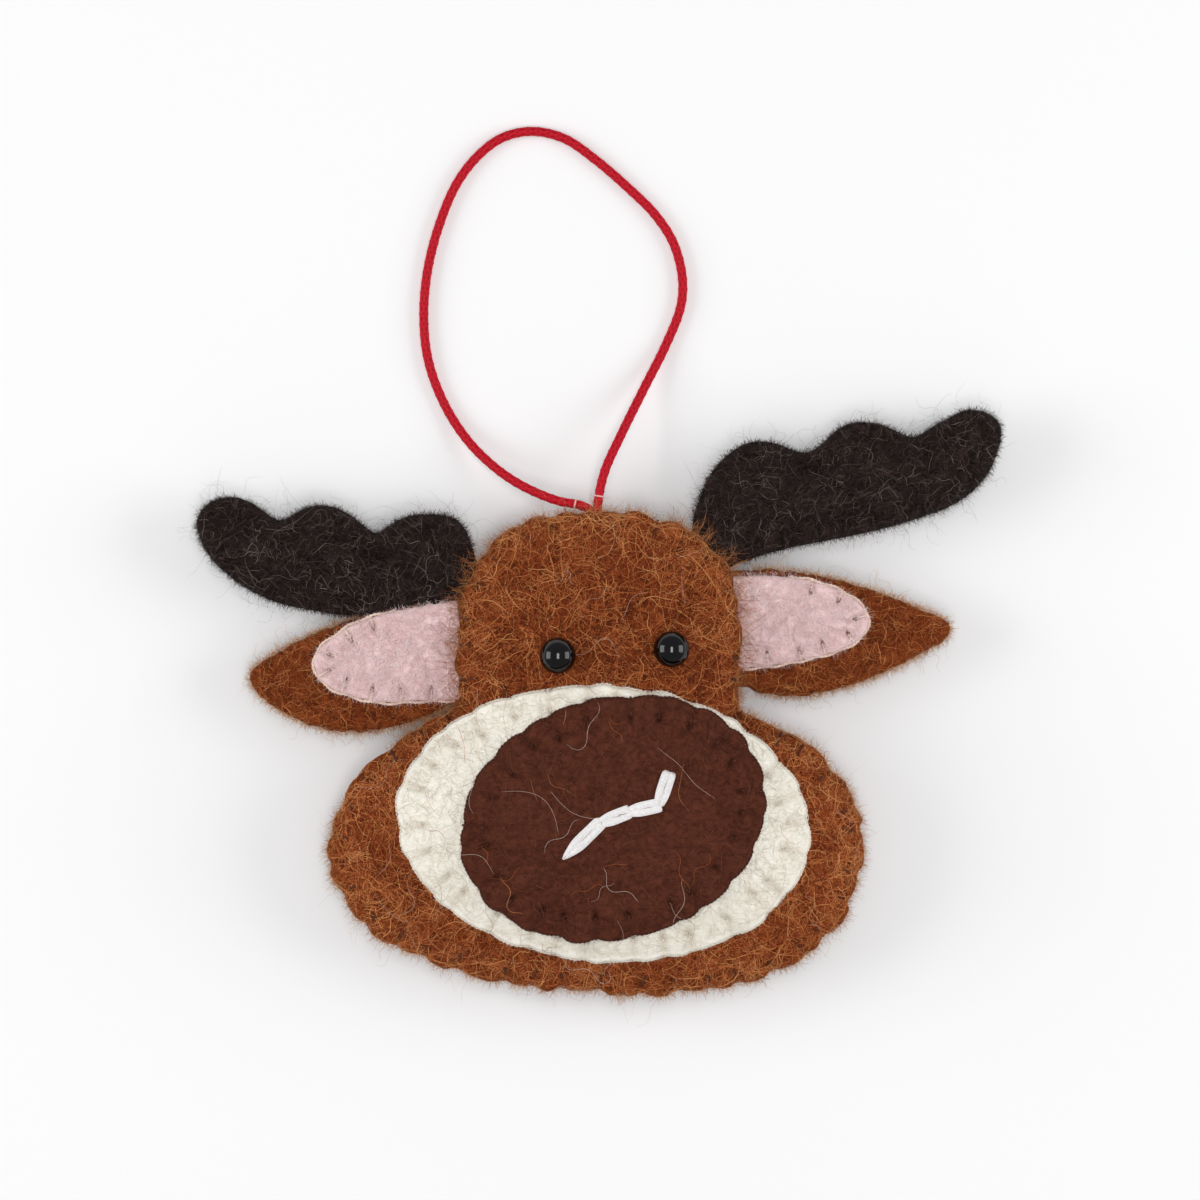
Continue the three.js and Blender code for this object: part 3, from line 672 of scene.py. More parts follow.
# arc length, stitch places and the way along each stitch for an edge given by its reach at even angles
def stitchedEdge(middle, angles, reach, shape, seed):
    count = shape["stitches"]
    ring = reach[:, None] * rays(angles)
    steps = far(np.roll(ring, -1, axis=0) - ring)
    arc = np.concatenate([[0], np.cumsum(steps)[:-1]])
    total = steps.sum()
    draw = np.random.default_rng(seed)
    places = (np.arange(count) + draw.uniform(-0.22, 0.22, count)) * total / count
    away = np.abs(arc[:, None] - places)
    nearest = np.minimum(away, total - away).min(axis=1)
    spots = np.interp(np.mod(places, total), arc, angles)
    depth = shape["holeInset"] * draw.uniform(0.8, 1.2, count)
    outward = rightOf(np.roll(ring, -3, axis=0) - np.roll(ring, 3, axis=0))
    ways = np.stack([np.interp(spots, angles, values) for values in outward.T], axis=-1)
    edge = rays(spots) * np.interp(spots, angles, reach)[:, None] + middle
    return {"nearest": nearest, "holes": edge - ways * depth[:, None], "ways": ways, "edge": edge}


# a hand-cut rim: the plain reach and a little to spare, slow waves, and a notch at each stitch
def cutRim(angles, plain, edge, shape, seed):
    waves = ripple(plain[:, None] * rays(angles), shape["waveLength"], seed)
    notches = shape["notch"] * np.exp(-(edge["nearest"] / shape["notchWidth"]) ** 2)
    return plain + shape["spare"] + shape["waver"] * waves - notches


# how much a spot lies in the stitch holes: a bell round each hole, longer along its stitch
def bells(spots, middles, ways, halfLength, halfWidth):
    dx, dy = np.moveaxis(spots[..., None, :] - middles, -1, 0)
    along = dx * ways[:, 0] + dy * ways[:, 1]
    across = dx * ways[:, 1] - dy * ways[:, 0]
    return np.exp(-(along / halfLength) ** 2 - (across / halfWidth) ** 2).max(axis=-1)


# a felt disc: rings run out over its top, round the cut edge and back under it;
# the radius is a share of the reach on the faces, and on the edge the ring turns half a circle;
# a panel sewn to another takes its last ring's height from the rim, so that the two meet there
def feltDisc(middle, angles, reach, top, under, shape):
    ray = rays(angles)
    rim = middle + (reach - 0.8)[:, None] * ray
    bevel = np.clip((top(rim) - under(rim)) / 2, 0.2, 1.0)
    topRings, edgeSteps, underRings = (shape[key] for key in ("topRings", "edgeSteps", "underRings"))
    lay = np.concatenate([np.linspace(0, 1, topRings + 1)[1:], np.ones(edgeSteps),
                          np.linspace(1, 0, underRings + 1)[:-1]])[:, None]
    turn = np.concatenate([np.zeros(topRings), np.linspace(0, np.pi, edgeSteps + 2)[1:-1],
                           np.full(underRings, np.pi)])[:, None]
    flat = (reach - bevel) * lay
    outer = middle + (flat + shape["outward"] * lay ** rimPower)[..., None] * ray
    high, low = top(outer), under(outer)
    z = (high + low) / 2 + (high - low) / 2 * np.cos(turn)
    spots = middle + (flat + bevel * np.sin(turn))[..., None] * ray
    return raised(spots, z), raised(np.sin(turn)[..., None] * ray, np.cos(turn))


# stitch holes and the grooves that run from them to the edge, pressed in along one face; gives back where
# they get painted shade
def pressStitches(points, normals, edge, shape, face):
    facing = np.clip(face * normals[..., 2], 0, 1)
    hole = bells(points[..., :2], edge["holes"], edge["ways"], *shape["holeSize"]) * facing
    halfway = (edge["holes"] + edge["edge"]) / 2
    groove = bells(points[..., :2], halfway, edge["ways"], shape["holeInset"] * 0.62, 0.55) * facing
    points[..., 2] -= face * (shape["hole"] * hole + shape["groove"] * groove)
    return np.clip(hole + 0.25 * groove, 0, 1)


# felt made a piece: tufts and grain along its normals, and its stitches pressed in and marked for painted
# shade
def feltPiece(name, stand, felt, shape, seed, material, edge=None, face=1):
    points, normals = felt
    rough = shape["tuft"] * ripple(points, 2.6, seed) + shape["grain"] * ripple(points, 1.15, seed + 1)
    points = points + normals * rough[..., None]
    if edge is None:
        return ringPiece(name, stand, points, material)
    # the stitch marks become painted shade, at the felt's own share
    shadeMarks = pressStitches(points, normals, edge, shape, face) * shape.get("stitchShadeShow", 1)
    return ringPiece(name, stand, points, material, shadeMarks)


# Head panels

centre = np.zeros(2)
headAngles = np.linspace(-np.pi, np.pi, head["spokes"], endpoint=False)
plainReach = np.interp(headAngles, tableAngles, edgeTable)
headEdge = stitchedEdge(centre, headAngles, plainReach, head, 5)
headRim = cutRim(headAngles, plainReach, headEdge, head, 8)
rimSpare = 0.05
head["outward"] = plainReach + rimSpare - headRim + panelFelt / 2


# where a spot on a panel takes its height from, and how far a quarter circle brings it in at the cut edge
def rimward(spots):
    half, away, angle = panelFelt / 2, far(spots), angleOf(spots)
    flat = roundAt(angle, headAngles, headRim) - half
    held = np.minimum(away, flat)
    outward = roundAt(angle, headAngles, head["outward"])
    pull = (held + outward * (held / flat) ** rimPower) / np.maximum(away, 1e-6)
    turned = np.clip((away - held) / half, 0, 1)
    return spots * pull[..., None], half * (1 - np.sqrt(1 - turned ** 2))


# the panels' outsides, each rounded at the edge
def panelTop(spots):
    outer, rounding = rimward(spots)
    return frontHeight(outer) - rounding


def panelLow(spots):
    outer, rounding = rimward(spots)
    return backHeight(outer) + rounding


# the panels' insides: one felt thickness in from the outside, and a gap more for the filling
def frontUnder(spots, gap=0.0):
    return frontHeight(spots) - panelFelt - gap


def backOver(spots, gap=0.0):
    return backHeight(spots) + panelFelt + gap


felt = feltDisc(centre, headAngles, headRim, frontHeight, frontUnder, head)
piece = feltPiece("head_front_felt", None, felt, head, 11, brownFelt, headEdge)
attach(piece, None, "head_front")
headBack = {**head, "topRings": 12, "underRings": 30, "tuft": 0.08, "grain": 0.05}
felt = feltDisc(centre, headAngles, headRim, backOver, backHeight, headBack)
piece = feltPiece("head_back_felt", None, felt, headBack, 13, brownFelt, headEdge, -1)
attach(piece, None, "head_back")
wadding = {"topRings": 20, "edgeSteps": 3, "underRings": 20, "outward": 0, "share": 0.8, "gap": 0.25}
felt = feltDisc(centre, headAngles[::8], plainReach[::8] * wadding["share"],
                lambda spots: frontUnder(spots, wadding["gap"]),
                lambda spots: backOver(spots, wadding["gap"]), wadding)
attach(ringPiece("head_wadding", None, felt[0], stuffingWool), None, "head_filling")

# blanket stitch: a loop over the edge at each hole, and the thread that runs along the seam between loops
headThread = {"runRadius": 0.2, "plyRadius": 0.16, "plySpread": 0.14, "plyPitch": 1.3, "inset": 0.25,
              "sway": 0.25}
hole, way, rim = headEdge["holes"], headEdge["ways"], headEdge["edge"]
upper, lower = panelTop(hole), panelLow(hole)
outer = rim - way * 0.95
outerTop, outerLow = panelTop(outer), panelLow(outer)
loops = runsThrough([
    (hole, upper - 0.55), (hole + way * 0.35, upper - 0.18), (outer, outerTop - 0.16),
    (rim - way * 0.42, outerTop - 0.75), (rim - way * 0.22, seamHeight), (rim - way * 0.42, outerLow + 0.75),
    (outer, outerLow + 0.16), (hole + way * 0.35, lower + 0.18), (hole, lower + 0.55)], 26)
seamAngles = np.linspace(-np.pi, np.pi, 900)
seamReach = roundAt(seamAngles, headAngles, headRim) - headThread["inset"]
seamSway = headThread["sway"] * ripple(seamAngles[:, None], 0.12, 17)
seamPath = raised(seamReach[:, None] * rays(seamAngles), seamHeight + seamSway)
piece = sewnThread("head_stitches", None, loops, seamPath, headThread, brownThread)
attach(piece, None, "head_seam_thread")
print("head sewn")


# Muzzle and nose patches

patchAngles = np.linspace(-np.pi, np.pi, 360, endpoint=False)
patchFelt = {"felt": 1.4, "gap": 0.12, "press": 0.3, "notch": 0.3, "hole": 0.45, "holeSize": (0.5, 0.34),
             "outward": 0, "edgeSteps": 6, "underRings": 8, "spare": 0.12, "waver": 0.12, "waveLength": 6,
             "pressWidth": 1.3, "plyPitch": 1.1, "threadOut": 0.04, "threadLift": 0.34, "threadSway": 0.12}
muzzle = {
    **patchFelt, "middle": np.array([0.7, -6.5]), "halfWidth": 25.5, "halfHeight": 17.0, "tilt": -4.4,
    "sink": 0.0, "stitches": 30, "holeInset": 2.7, "notchWidth": 0.8, "groove": 0.2, "topRings": 44,
    "tuft": 0.015, "grain": 0.016, "runRadius": 0.17, "plyRadius": 0.1224, "plySpread": 0.102, "seed": 21,
    "seat": frontHeight, "under": "head_front_felt",
}


# reach of a turned oval at an angle
def ovalReach(patch, angles):
    turned = angles - np.radians(patch["tilt"])
    return patch["halfWidth"] * patch["halfHeight"] / np.hypot(
        patch["halfHeight"] * np.cos(turned), patch["halfWidth"] * np.sin(turned))


# distance inside a patch's edge, measured along the ray from its middle
def insidePatch(patch, spots):
    away = spots - patch["middle"]
    return ovalReach(patch, angleOf(away)) - far(away)


# a patch's top: the felt under it, the gap and its own thickness, pressed down along its sewn edge
def patchTop(patch, spots):
    inside = np.maximum(0, insidePatch(patch, spots))
    pressed = patch["press"] * np.exp(-(inside / patch["pressWidth"]) ** 2)
    return patch["seat"](spots) + patch["gap"] + patch["felt"] - pressed


def muzzleHeight(spots):
    return patchTop(muzzle, spots)


nose = {
    **patchFelt, "middle": np.array([1.85, -5.8]), "halfWidth": 19.05, "halfHeight": 14.7, "tilt": 17.0,
    "sink": 0.25, "stitches": 24, "holeInset": 2.6, "notchWidth": 0.75, "groove": 0.16, "topRings": 42,
    "tuft": 0.045, "grain": 0.035, "runRadius": 0.15, "plyRadius": 0.108, "plySpread": 0.09, "seed": 31,
    "seat": muzzleHeight, "under": "muzzle_felt",
}


def noseHeight(spots):
    return patchTop(nose, spots)


def sewPatch(name, patch, material):
    plain = ovalReach(patch, patchAngles)
    edge = stitchedEdge(patch["middle"], patchAngles, plain, patch, patch["seed"])
    reach = cutRim(patchAngles, plain, edge, patch, patch["seed"] + 2)
    felt = feltDisc(patch["middle"], patchAngles, reach, lambda spots: patchTop(patch, spots),
                    lambda spots: patch["seat"](spots) + patch["gap"], patch)
    piece = feltPiece(name + "_felt", None, felt, patch, patch["seed"] + 3, material, edge)
    attach(piece, None, name + "_patch")
    patch.update(edge=edge, rim=reach)


# edge stitches of a patch: a short run from each hole over the edge, and a thread along the edge's foot
def patchStitches(name, patch, material):
    hole, way, rim = (patch["edge"][key] for key in ("holes", "ways", "edge"))
    seat, sink = patch["seat"], patch["sink"]
    near, mid, over, foot = hole + way * 0.3, (hole + rim) / 2, rim - way * 0.5, rim - way * 0.1
    runs = runsThrough([
        (hole, patchTop(patch, hole) - 0.75), (near, patchTop(patch, near) - 0.42),
        (mid, patchTop(patch, mid) - 0.3 - sink), (over, patchTop(patch, over) - 0.28 - sink),
        (rim - way * 0.14, seat(rim) + 0.65), (foot, seat(foot) + 0.12)], 18)
    angles = np.linspace(-np.pi, np.pi, 700)
    reach = roundAt(angles, patchAngles, patch["rim"]) + patch["threadOut"]
    spots = patch["middle"] + reach[:, None] * rays(angles)
    sway = patch["threadSway"] * ripple(angles[:, None], 0.5, patch["seed"] + 5)
    line = raised(spots, seat(spots) + patch["threadLift"] + sway)
    piece = sewnThread(name + "_stitches", None, runs, line, patch, material)
    attach(piece, None, name + "_thread")


sewPatch("muzzle", muzzle, creamFelt)
sewPatch("nose", nose, cocoaFelt)
patchStitches("muzzle", muzzle, creamThread)
patchStitches("nose", nose, cocoaThread)
print("patches sewn")


# Chain stitch: each link is two flat bands of floss between one hole and the next, with a slit between them

chain = {
    "holes": np.array([[-4.1, -10.5], [0.25, -6.25], [3.75, -4.9], [7.5, -4.1], [8.75, -0.25]]),
    "filaments": 7, "filamentRadius": 0.085, "inner": 0.07, "outer": 0.82, "crown": 0.16, "steps": 22,
    "startShares": [0.15, 0.75, 0.75, 0.8],
    "along": [-0.07, 0.08, 0.35, 0.7, 0.98, 1.1], "across": np.array([0.6, 0.82, 0.97, 1.0, 0.97, 0.85]),
    "slit": np.array([0.0, 0.0, 0.6, 1.0, 0.0, 0.0]), "lift": np.array([-0.35, 0.1, 0.16, 0.16, 0.08, -0.3]),
}
threadTip = 0.55
inner = chain["inner"] * chain["slit"] + 0.03
flosses = []
for side in (-1, 1):
    for filament in np.linspace(0, 1, chain["filaments"]):
        for start, end, startShare in zip(chain["holes"], chain["holes"][1:], chain["startShares"]):
            reachOut = end - start
            across = np.array([-reachOut[1], reachOut[0]]) / far(reachOut)
            widths = chain["across"] * np.array([startShare, (1 + startShare) / 2, 1, 1, 1, 1])
            sideways = side * (inner + (chain["outer"] * widths - inner) * filament)
            flat = start + np.outer(chain["along"], reachOut) + np.outer(sideways, across)
            crown = chain["crown"] * (1 - (2 * filament - 1) ** 2)
            stops = raised(flat, noseHeight(flat) + chain["lift"] + crown)
            flosses.append(smoothLine(stops, chain["steps"]))
sets = [(np.array(flosses), chain["filamentRadius"], 6)]
attach(threadPiece("nose_chain", None, sets, whiteThread, threadTip), None, "chain_stitch")


# Bead eyes: a round profile carried round the bore, which lies along Y

bead = {"radius": 2.25, "bore": 0.4, "sink": 0.85, "rows": 56, "sides": 72, "plyRadius": 0.08,
        "plySpread": 0.06, "plyPitch": 0.9,
        "thread": [[0.1, -1.6, -2.2], [0.05, -2.05, -1.2], [0, -2.2, -0.4], [0, -1.2, 0], [0, 1.2, 0],
                   [0, 2.2, -0.4], [-0.05, 2.05, -1.2], [-0.1, 1.6, -2.2]]}


# the profile runs over the outside from one bore mouth to the other and back through the bore
def beadPoints():
    mouth = np.arcsin(bead["bore"] / bead["radius"])
    outside = np.linspace(mouth, np.pi - mouth, bead["rows"])
    reachUp = bead["radius"] * np.cos(mouth)
    bore = np.linspace(-reachUp, reachUp, 8)[1:-1]
    wide = np.concatenate([bead["radius"] * np.sin(outside), np.full(len(bore), bead["bore"])])[:, None]
    along = np.concatenate([bead["radius"] * np.cos(outside), bore])[:, None]
    turn = np.linspace(0, 2 * np.pi, bead["sides"], endpoint=False)
    return np.stack([wide * np.cos(turn), along + 0 * turn, wide * np.sin(turn)], axis=-1)


for side in ("left", "right"):
    middle = nodeBox("eye_" + side).mean(axis=0) - upwards * bead["sink"]
    points = middle + beadPoints()
    index = np.arange(points.shape[0] * points.shape[1]).reshape(points.shape[:2])
    below = np.roll(index, -1, axis=0)
    quads = np.stack([index, below, np.roll(below, -1, axis=1), np.roll(index, -1, axis=1)], axis=-1)
    faces = quads.reshape(-1, 4), np.zeros((0, 3), int)
    attach(addPiece("eye_bead_" + side, points, faces, glassBead), None, "eye_" + side)
    eyePath = smoothLine(bead["thread"], 40) + middle - headMiddle
    plies = pliedPaths(eyePath, bead["plySpread"], bead["plyPitch"])
    piece = threadPiece("eye_thread_" + side, None, [(plies, bead["plyRadius"], 6)], blackThread, threadTip)
    attach(piece, None, "eye_" + side + "_thread")
print("eyes sewn on")


# Ears and antlers: flat blades of felt whose root lies along the head's edge

# where a blade stands: its pivot, its turn in the head's plane and the way its root faces
def bladeStand(body, blade, felt):
    axis = joints[body + "_flex"]["axis"]
    outward = np.array([-axis[1], axis[0]])
    turn = np.radians(blade["turn"])
    rotation = turn if blade["side"] > 0 else np.pi - turn
    slant = blade["side"] * (angleOf(outward) - rotation)
    return {"body": body, "pivot": pivotOf(body + "_flex"), "side": blade["side"], "rotation": rotation,
            "outward": outward, "rootWay": np.array([-np.sin(slant), np.cos(slant)]),
            "length": blade["length"], "droop": felt["droop"], "reach": felt["flexReach"]}


# a blade's middle plane bends down with the square of the way to its tip
def droop(stand, spots):
    return -stand["droop"] * (np.clip(spots[..., 0], 0, None) / stand["length"]) ** 2


# two edges as one outline, rounded off by a bell of the felt's width and parted again at the tip,
# where the rows crowd together so that the tip closes in a round
def roundedEdges(low, high, felt):
    line = evenSteps(np.concatenate([low, high[::-1]]), 1600)
    step = far(line[1] - line[0])
    reach = int(3 * felt["round"] / step)
    weights = np.exp(-((np.arange(-reach, reach + 1) * step / felt["round"]) ** 2) / 2)
    padded = np.pad(line, ((reach, reach), (0, 0)), mode="reflect", reflect_type="odd")
    weights /= weights.sum()
    line = np.stack([np.convolve(values, weights, mode="valid") for values in padded.T], axis=1)
    tip = np.argmin(far(line - (low[-1] + high[-1]) / 2))
    shares = 1 - (1 - np.linspace(0, 0.99, felt["rows"])) ** 1.4
    return pointsAlong(line[:tip + 1], shares), pointsAlong(line[:tip - 1:-1], shares), line


# spots in even columns from one edge of a blade to the other
def laidOut(low, high, felt):
    return low[:, None] + (high - low)[:, None] * np.linspace(0, 1, felt["columns"])[:, None]


# distance inside an outline, below 0 outside it, worked out on a grid and read between the grid's points
def edgeField(line):
    step, margin = 0.3, 5.0
    line = line[::4]
    start = line.min(axis=0) - margin
    columns, rows = (np.arange(start[k], line[:, k].max() + margin, step) for k in range(2))
    x, y = (axis.ravel()[:, None] for axis in np.meshgrid(columns, rows, indexing="ij"))
    near = np.sqrt(((x - line[:, 0]) ** 2 + (y - line[:, 1]) ** 2).min(axis=1))
    after = np.roll(line, -1, axis=0)
    climbs = (line[:, 1] > y) != (after[:, 1] > y)
    meets = (after[:, 0] - line[:, 0]) * (y - line[:, 1]) / (after[:, 1] - line[:, 1] + 1e-9) + line[:, 0]
    inside = (climbs & (x < meets)).sum(axis=1) % 2 == 1
    grid = np.where(inside, near, -near).reshape(len(columns), len(rows))
    return lambda spots: readGrid(grid, (spots - start) / step)


# rows that tuck a blade's root into the seam, thinner as they go in
def tuckedRoot(low, high, top, under, felt):
    back = np.array([[1.0], [0.66], [0.33]])
    across = high[0] - low[0]
    inwards = np.array([-across[1], across[0]]) / far(across) * felt["tuck"] * back
    middle, depth = (top[0] + under[0]) / 2, (top[0] - under[0]) / 2 * (1 - 0.45 * back)
    return (np.concatenate([low[0] + inwards, low]), np.concatenate([high[0] + inwards, high]),
            np.concatenate([middle + depth, top]), np.concatenate([middle - depth, under]))


# a blade: each row is a loop over the top, round the upper edge, under and round the lower edge;
# across a face the place is low + (high - low) * share, and on an edge it turns half a circle
def feltBlade(low, high, top, under, felt):
    width = far(high - low)[:, None]
    way = ((high - low) / width)[:, None, :]
    middle, depth = (top + under) / 2, (top - under) / 2
    bevelLow, bevelHigh = np.minimum(depth[:, :1], 0.45 * width), np.minimum(depth[:, -1:], 0.45 * width)
    face = bevelLow + np.linspace(0, 1, top.shape[1]) * (width - bevelLow - bevelHigh)
    turn = np.linspace(0, np.pi, felt["edgeSteps"] + 2)[1:-1]
    sine, cosine = np.sin(turn), np.cos(turn)
    highRim, lowRim = width + bevelHigh * (sine - 1), -bevelLow * (sine - 1)
    across = np.concatenate([face, highRim, face[:, ::-1], lowRim], axis=1)
    z = np.concatenate([top, middle[:, -1:] + depth[:, -1:] * cosine, under[:, ::-1],
                        middle[:, :1] - depth[:, :1] * cosine], axis=1)
    ones, zeros = np.ones(top.shape[1]), np.zeros(top.shape[1])
    sideways = np.concatenate([zeros, sine, zeros, -sine])
    upright = np.concatenate([ones, cosine, -ones, -cosine])
    return raised(low[:, None, :] + way * across[..., None], z), raised(way * sideways[:, None], upright)


# evenly spaced stitch holes along a line of points, set in from it to its left
def holesAlong(line, felt, seed):
    draw = np.random.default_rng(seed)
    count, parts = int(travelled(line)[-1] / felt["spacing"]), 20
    steps = evenSteps(line, count * parts + 1)
    at = (np.arange(count) + 0.5 + draw.uniform(-0.15, 0.15, count)) * parts
    at = np.clip(at, 1, count * parts - 1).astype(int)
    outward = rightOf(steps[at + 1] - steps[at - 1])
    depth = felt["holeInset"] * draw.uniform(0.85, 1.2, count)[:, None]
    return {"holes": steps[at] - outward * depth, "ways": outward, "edge": steps[at]}


# the same line moved out to its right by a set amount at each point
def movedOut(line, amount):
    return line + rightOf(np.gradient(line, axis=0)) * amount


earFelt = {"thickness": 1.8, "droop": 1.5, "tipWidth": 1.8, "rows": 110, "columns": 22, "edgeSteps": 6,
           "tuck": 2.4, "round": 0.7, "flexReach": 5.0, "tuft": 0.08, "grain": 0.05}
liningFelt = {"thickness": 1.15, "gap": 0.1, "rows": 100, "columns": 40, "edgeSteps": 5, "round": 0.5,
              "holeInset": 1.45, "hole": 0.5, "holeSize": (0.55, 0.22), "groove": 0.3, "tuft": 0.025,
              "grain": 0.025, "spacing": 3.5, "runRadius": 0.11, "plyRadius": 0.12, "plySpread": 0.09,
              "plyPitch": 1.0}
ears = {
    "left": {"side": -1, "turn": -6.0, "rootHigh": 7.3, "rootLow": 5.6, "length": 25.2, "seed": 41,
             "topPulls": [[8, 7.4], [18, 5.2]], "bottomPulls": [[5, -8.2], [17.5, -11.3]],
             "liningTop": [[-1.7, 7.0], [3.5, 6.75], [6.7, 6.4], [10.9, 5.6], [13.9, 4.2], [15.9, 2.9],
                           [17.0, 1.4]],
             "liningLow": [[-1.7, -5.5], [4.3, -5.0], [9.1, -4.7], [13, -3.4], [15.2, -2.2], [16.5, -0.8],
                           [17.0, 1.1]]},
    "right": {"side": 1, "turn": 0.0, "rootHigh": 7.3, "rootLow": 7.3, "length": 25.6, "seed": 51,
              "topPulls": [[7, 8.2], [17, 4.8]], "bottomPulls": [[5, -10], [15, -7.8]],
              "liningTop": [[-1.7, 6.65], [3, 6.7], [6.8, 6.3], [10, 5.5], [13.0, 4.1], [14.8, 2.5],
                            [15.3, 1.2]],
              "liningLow": [[-1.7, -5.0], [3, -4.6], [6.8, -3.9], [10.5, -3.0], [13.2, -1.9], [14.8, -0.5],
                            [15.3, 0.9]]},
}
earHalf = earFelt["thickness"] / 2
liningTop = earHalf + liningFelt["gap"] + liningFelt["thickness"]
for name, ear in ears.items():
    body = "ear_" + name
    stand = bladeStand(body, ear, earFelt)
    length, tipHalf = ear["length"], earFelt["tipWidth"] / 2
    low, high, outline = roundedEdges(
        pulledCurve([-stand["rootWay"] * ear["rootLow"], *ear["bottomPulls"], [length, -tipHalf]], 300),
        pulledCurve([stand["rootWay"] * ear["rootHigh"], *ear["topPulls"], [length, tipHalf]], 300), earFelt)
    middle = droop(stand, laidOut(low, high, earFelt))
    felt = feltBlade(*tuckedRoot(low, high, middle + earHalf, middle - earHalf, earFelt), earFelt)
    piece = feltPiece(body + "_felt", stand, felt, earFelt, ear["seed"], brownFelt)
    attach(piece, stand, body + "_outer")

    low, high, lining = roundedEdges(
        smoothLine(ear["liningLow"], 300), smoothLine(ear["liningTop"], 300), liningFelt)
    under = droop(stand, laidOut(low, high, liningFelt)) + earHalf + liningFelt["gap"]
    sewn = holesAlong(lining[100:1250], liningFelt, ear["seed"] + 4)
    felt = feltBlade(low, high, under + liningFelt["thickness"], under, liningFelt)
    piece = feltPiece(body + "_lining", stand, felt, liningFelt, ear["seed"] + 2, pinkFelt, sewn)
    body + "_felt"
    attach(piece, stand, body + "_inner")

    # the lining's thread: along the foot of its edge, with a short run in from the edge at each hole
    line = evenSteps(lining[60:1300], 300)
    turn = 2 * np.pi * np.linspace(0, 1, len(line))
    line = movedOut(line, (0.1 + 0.1 * np.sin(turn * 9))[:, None])
    foot = raised(line, droop(stand, line) + earHalf + 0.62 + 0.12 * np.sin(turn * 7))
    hole, way, rim = sewn["holes"], sewn["ways"], sewn["edge"]
    face = droop(stand, hole) + liningTop
    runs = runsThrough([
        (hole, face - 0.7), (hole + way * 0.25, face - 0.3), ((hole + rim) / 2, face - 0.1),
        (rim - way * 0.35, face - 0.1), (rim + way * 0.12, face - 0.75)], 14)
    piece = sewnThread(body + "_stitches", stand, runs, foot, liningFelt, peachThread)
    attach(piece, stand, body + "_thread")
    ear.update(stand=stand, outline=outline, lining=lining, holes=hole)
print("ears sewn")

# the antlers' stitch holes show half as much painted shade
antlerFelt = {"thickness": 1.4, "droop": 1.0, "swell": 1.5, "swellWidth": 4.2, "rows": 190, "columns": 22,
              "edgeSteps": 5, "tuck": 1.1, "round": 0.45, "seamGap": 0.08, "flexReach": 6.0, "tuft": 0.1,
              "grain": 0.055, "spacing": 3.6, "hole": 0.4, "holeSize": (0.5, 0.34), "groove": 0.25,
              "holeInset": 1.5, "stitchShadeShow": 0.5, "fill": 0.4, "runRadius": 0.13, "plyRadius": 0.13,
              "plySpread": 0.1, "plyPitch": 1.0}
antlerThick = antlerFelt["thickness"] + antlerFelt["seamGap"]
antlerCore = {"columns": antlerFelt["columns"], "edgeSteps": 3, "rows": slice(20, -60), "from": 0.22,
              "to": 0.78}
antlers = {
    "left": {"side": -1, "turn": 11.0, "length": 34.0, "seed": 61,
             "creases": [[11.5, 2.1, -18], [23.6, 1.4, -8]],
             "high": [[-1.6, 0.8], [-0.6, 2.3], [0.5, 4.4], [2.4, 5.9], [4.6, 5.9], [7.4, 5.3], [9.5, 4.0],
                      [11.5, 2.1], [13.5, 2.9], [16.4, 4.2], [19.4, 4.2], [21.6, 3.0], [23.6, 1.4],
                      [25.5, 1.9], [27.5, 2.85], [29.7, 3.2], [31.7, 2.7], [33.2, 1.4], [33.8, -0.2]],
             "low": [[0.2, -4.6], [3.5, -4.9], [6.5, -6.0], [9.5, -7.3], [13.5, -8.25], [17.5, -8.4],
                     [21.5, -8.35], [25.5, -7.5], [28.5, -6.2], [31.0, -4.6], [32.8, -2.6], [33.7, -0.9]]},
    "right": {"side": 1, "turn": 21.0, "length": 39.0, "seed": 71,
              "creases": [[15.4, 5.6, 12], [28.5, 2.6, 8]],
              "high": [[-1.9, 1.2], [-0.6, 3.5], [0.6, 5.0], [2.5, 7.1], [4.5, 8.4], [6.5, 9.2], [8.5, 9.5],
                       [10.5, 9.05], [12.5, 7.7], [14.4, 6.0], [15.6, 5.65], [17.5, 6.05], [19.5, 6.95],
                       [21.5, 7.2], [23.5, 6.6], [25.5, 5.3], [27.4, 3.3], [28.7, 2.6], [30.5, 3.0],
                       [33.5, 3.4], [35.6, 3.55], [37.5, 2.7], [38.6, 1.4], [38.9, 0.4]],
              "low": [[0.9, -3.9], [3.5, -3.75], [8.5, -4.15], [14.5, -5.2], [20.5, -6.15], [26.5, -6.6],
                      [29.5, -6.55], [32.0, -6.1], [34.5, -5.0], [36.5, -3.4], [38.0, -1.6], [38.8, -0.2]]},
}


# filling under the felt: it rises from the edge with a soft step, is lumpy, and is creased in from each notch
def antlerSwell(antler, spots):
    rise = smoothStep(antler["inside"](spots) / antlerFelt["swellWidth"])
    for notchX, notchY, slant in antler["creases"]:
        dx, dy = spots[..., 0] - notchX, spots[..., 1] - notchY
        cosine, sine = rays(np.radians(slant))
        inwards, aside = dx * sine - dy * cosine, dx * cosine + dy * sine
        rise = rise * (1 - 0.7 * np.exp(-(aside / 0.9) ** 2) * smoothStep(1 - (inwards - 1.5) / 5))
    return antlerFelt["swell"] * rise * (1 + 0.16 * ripple(spots, 6, antler["seed"]))


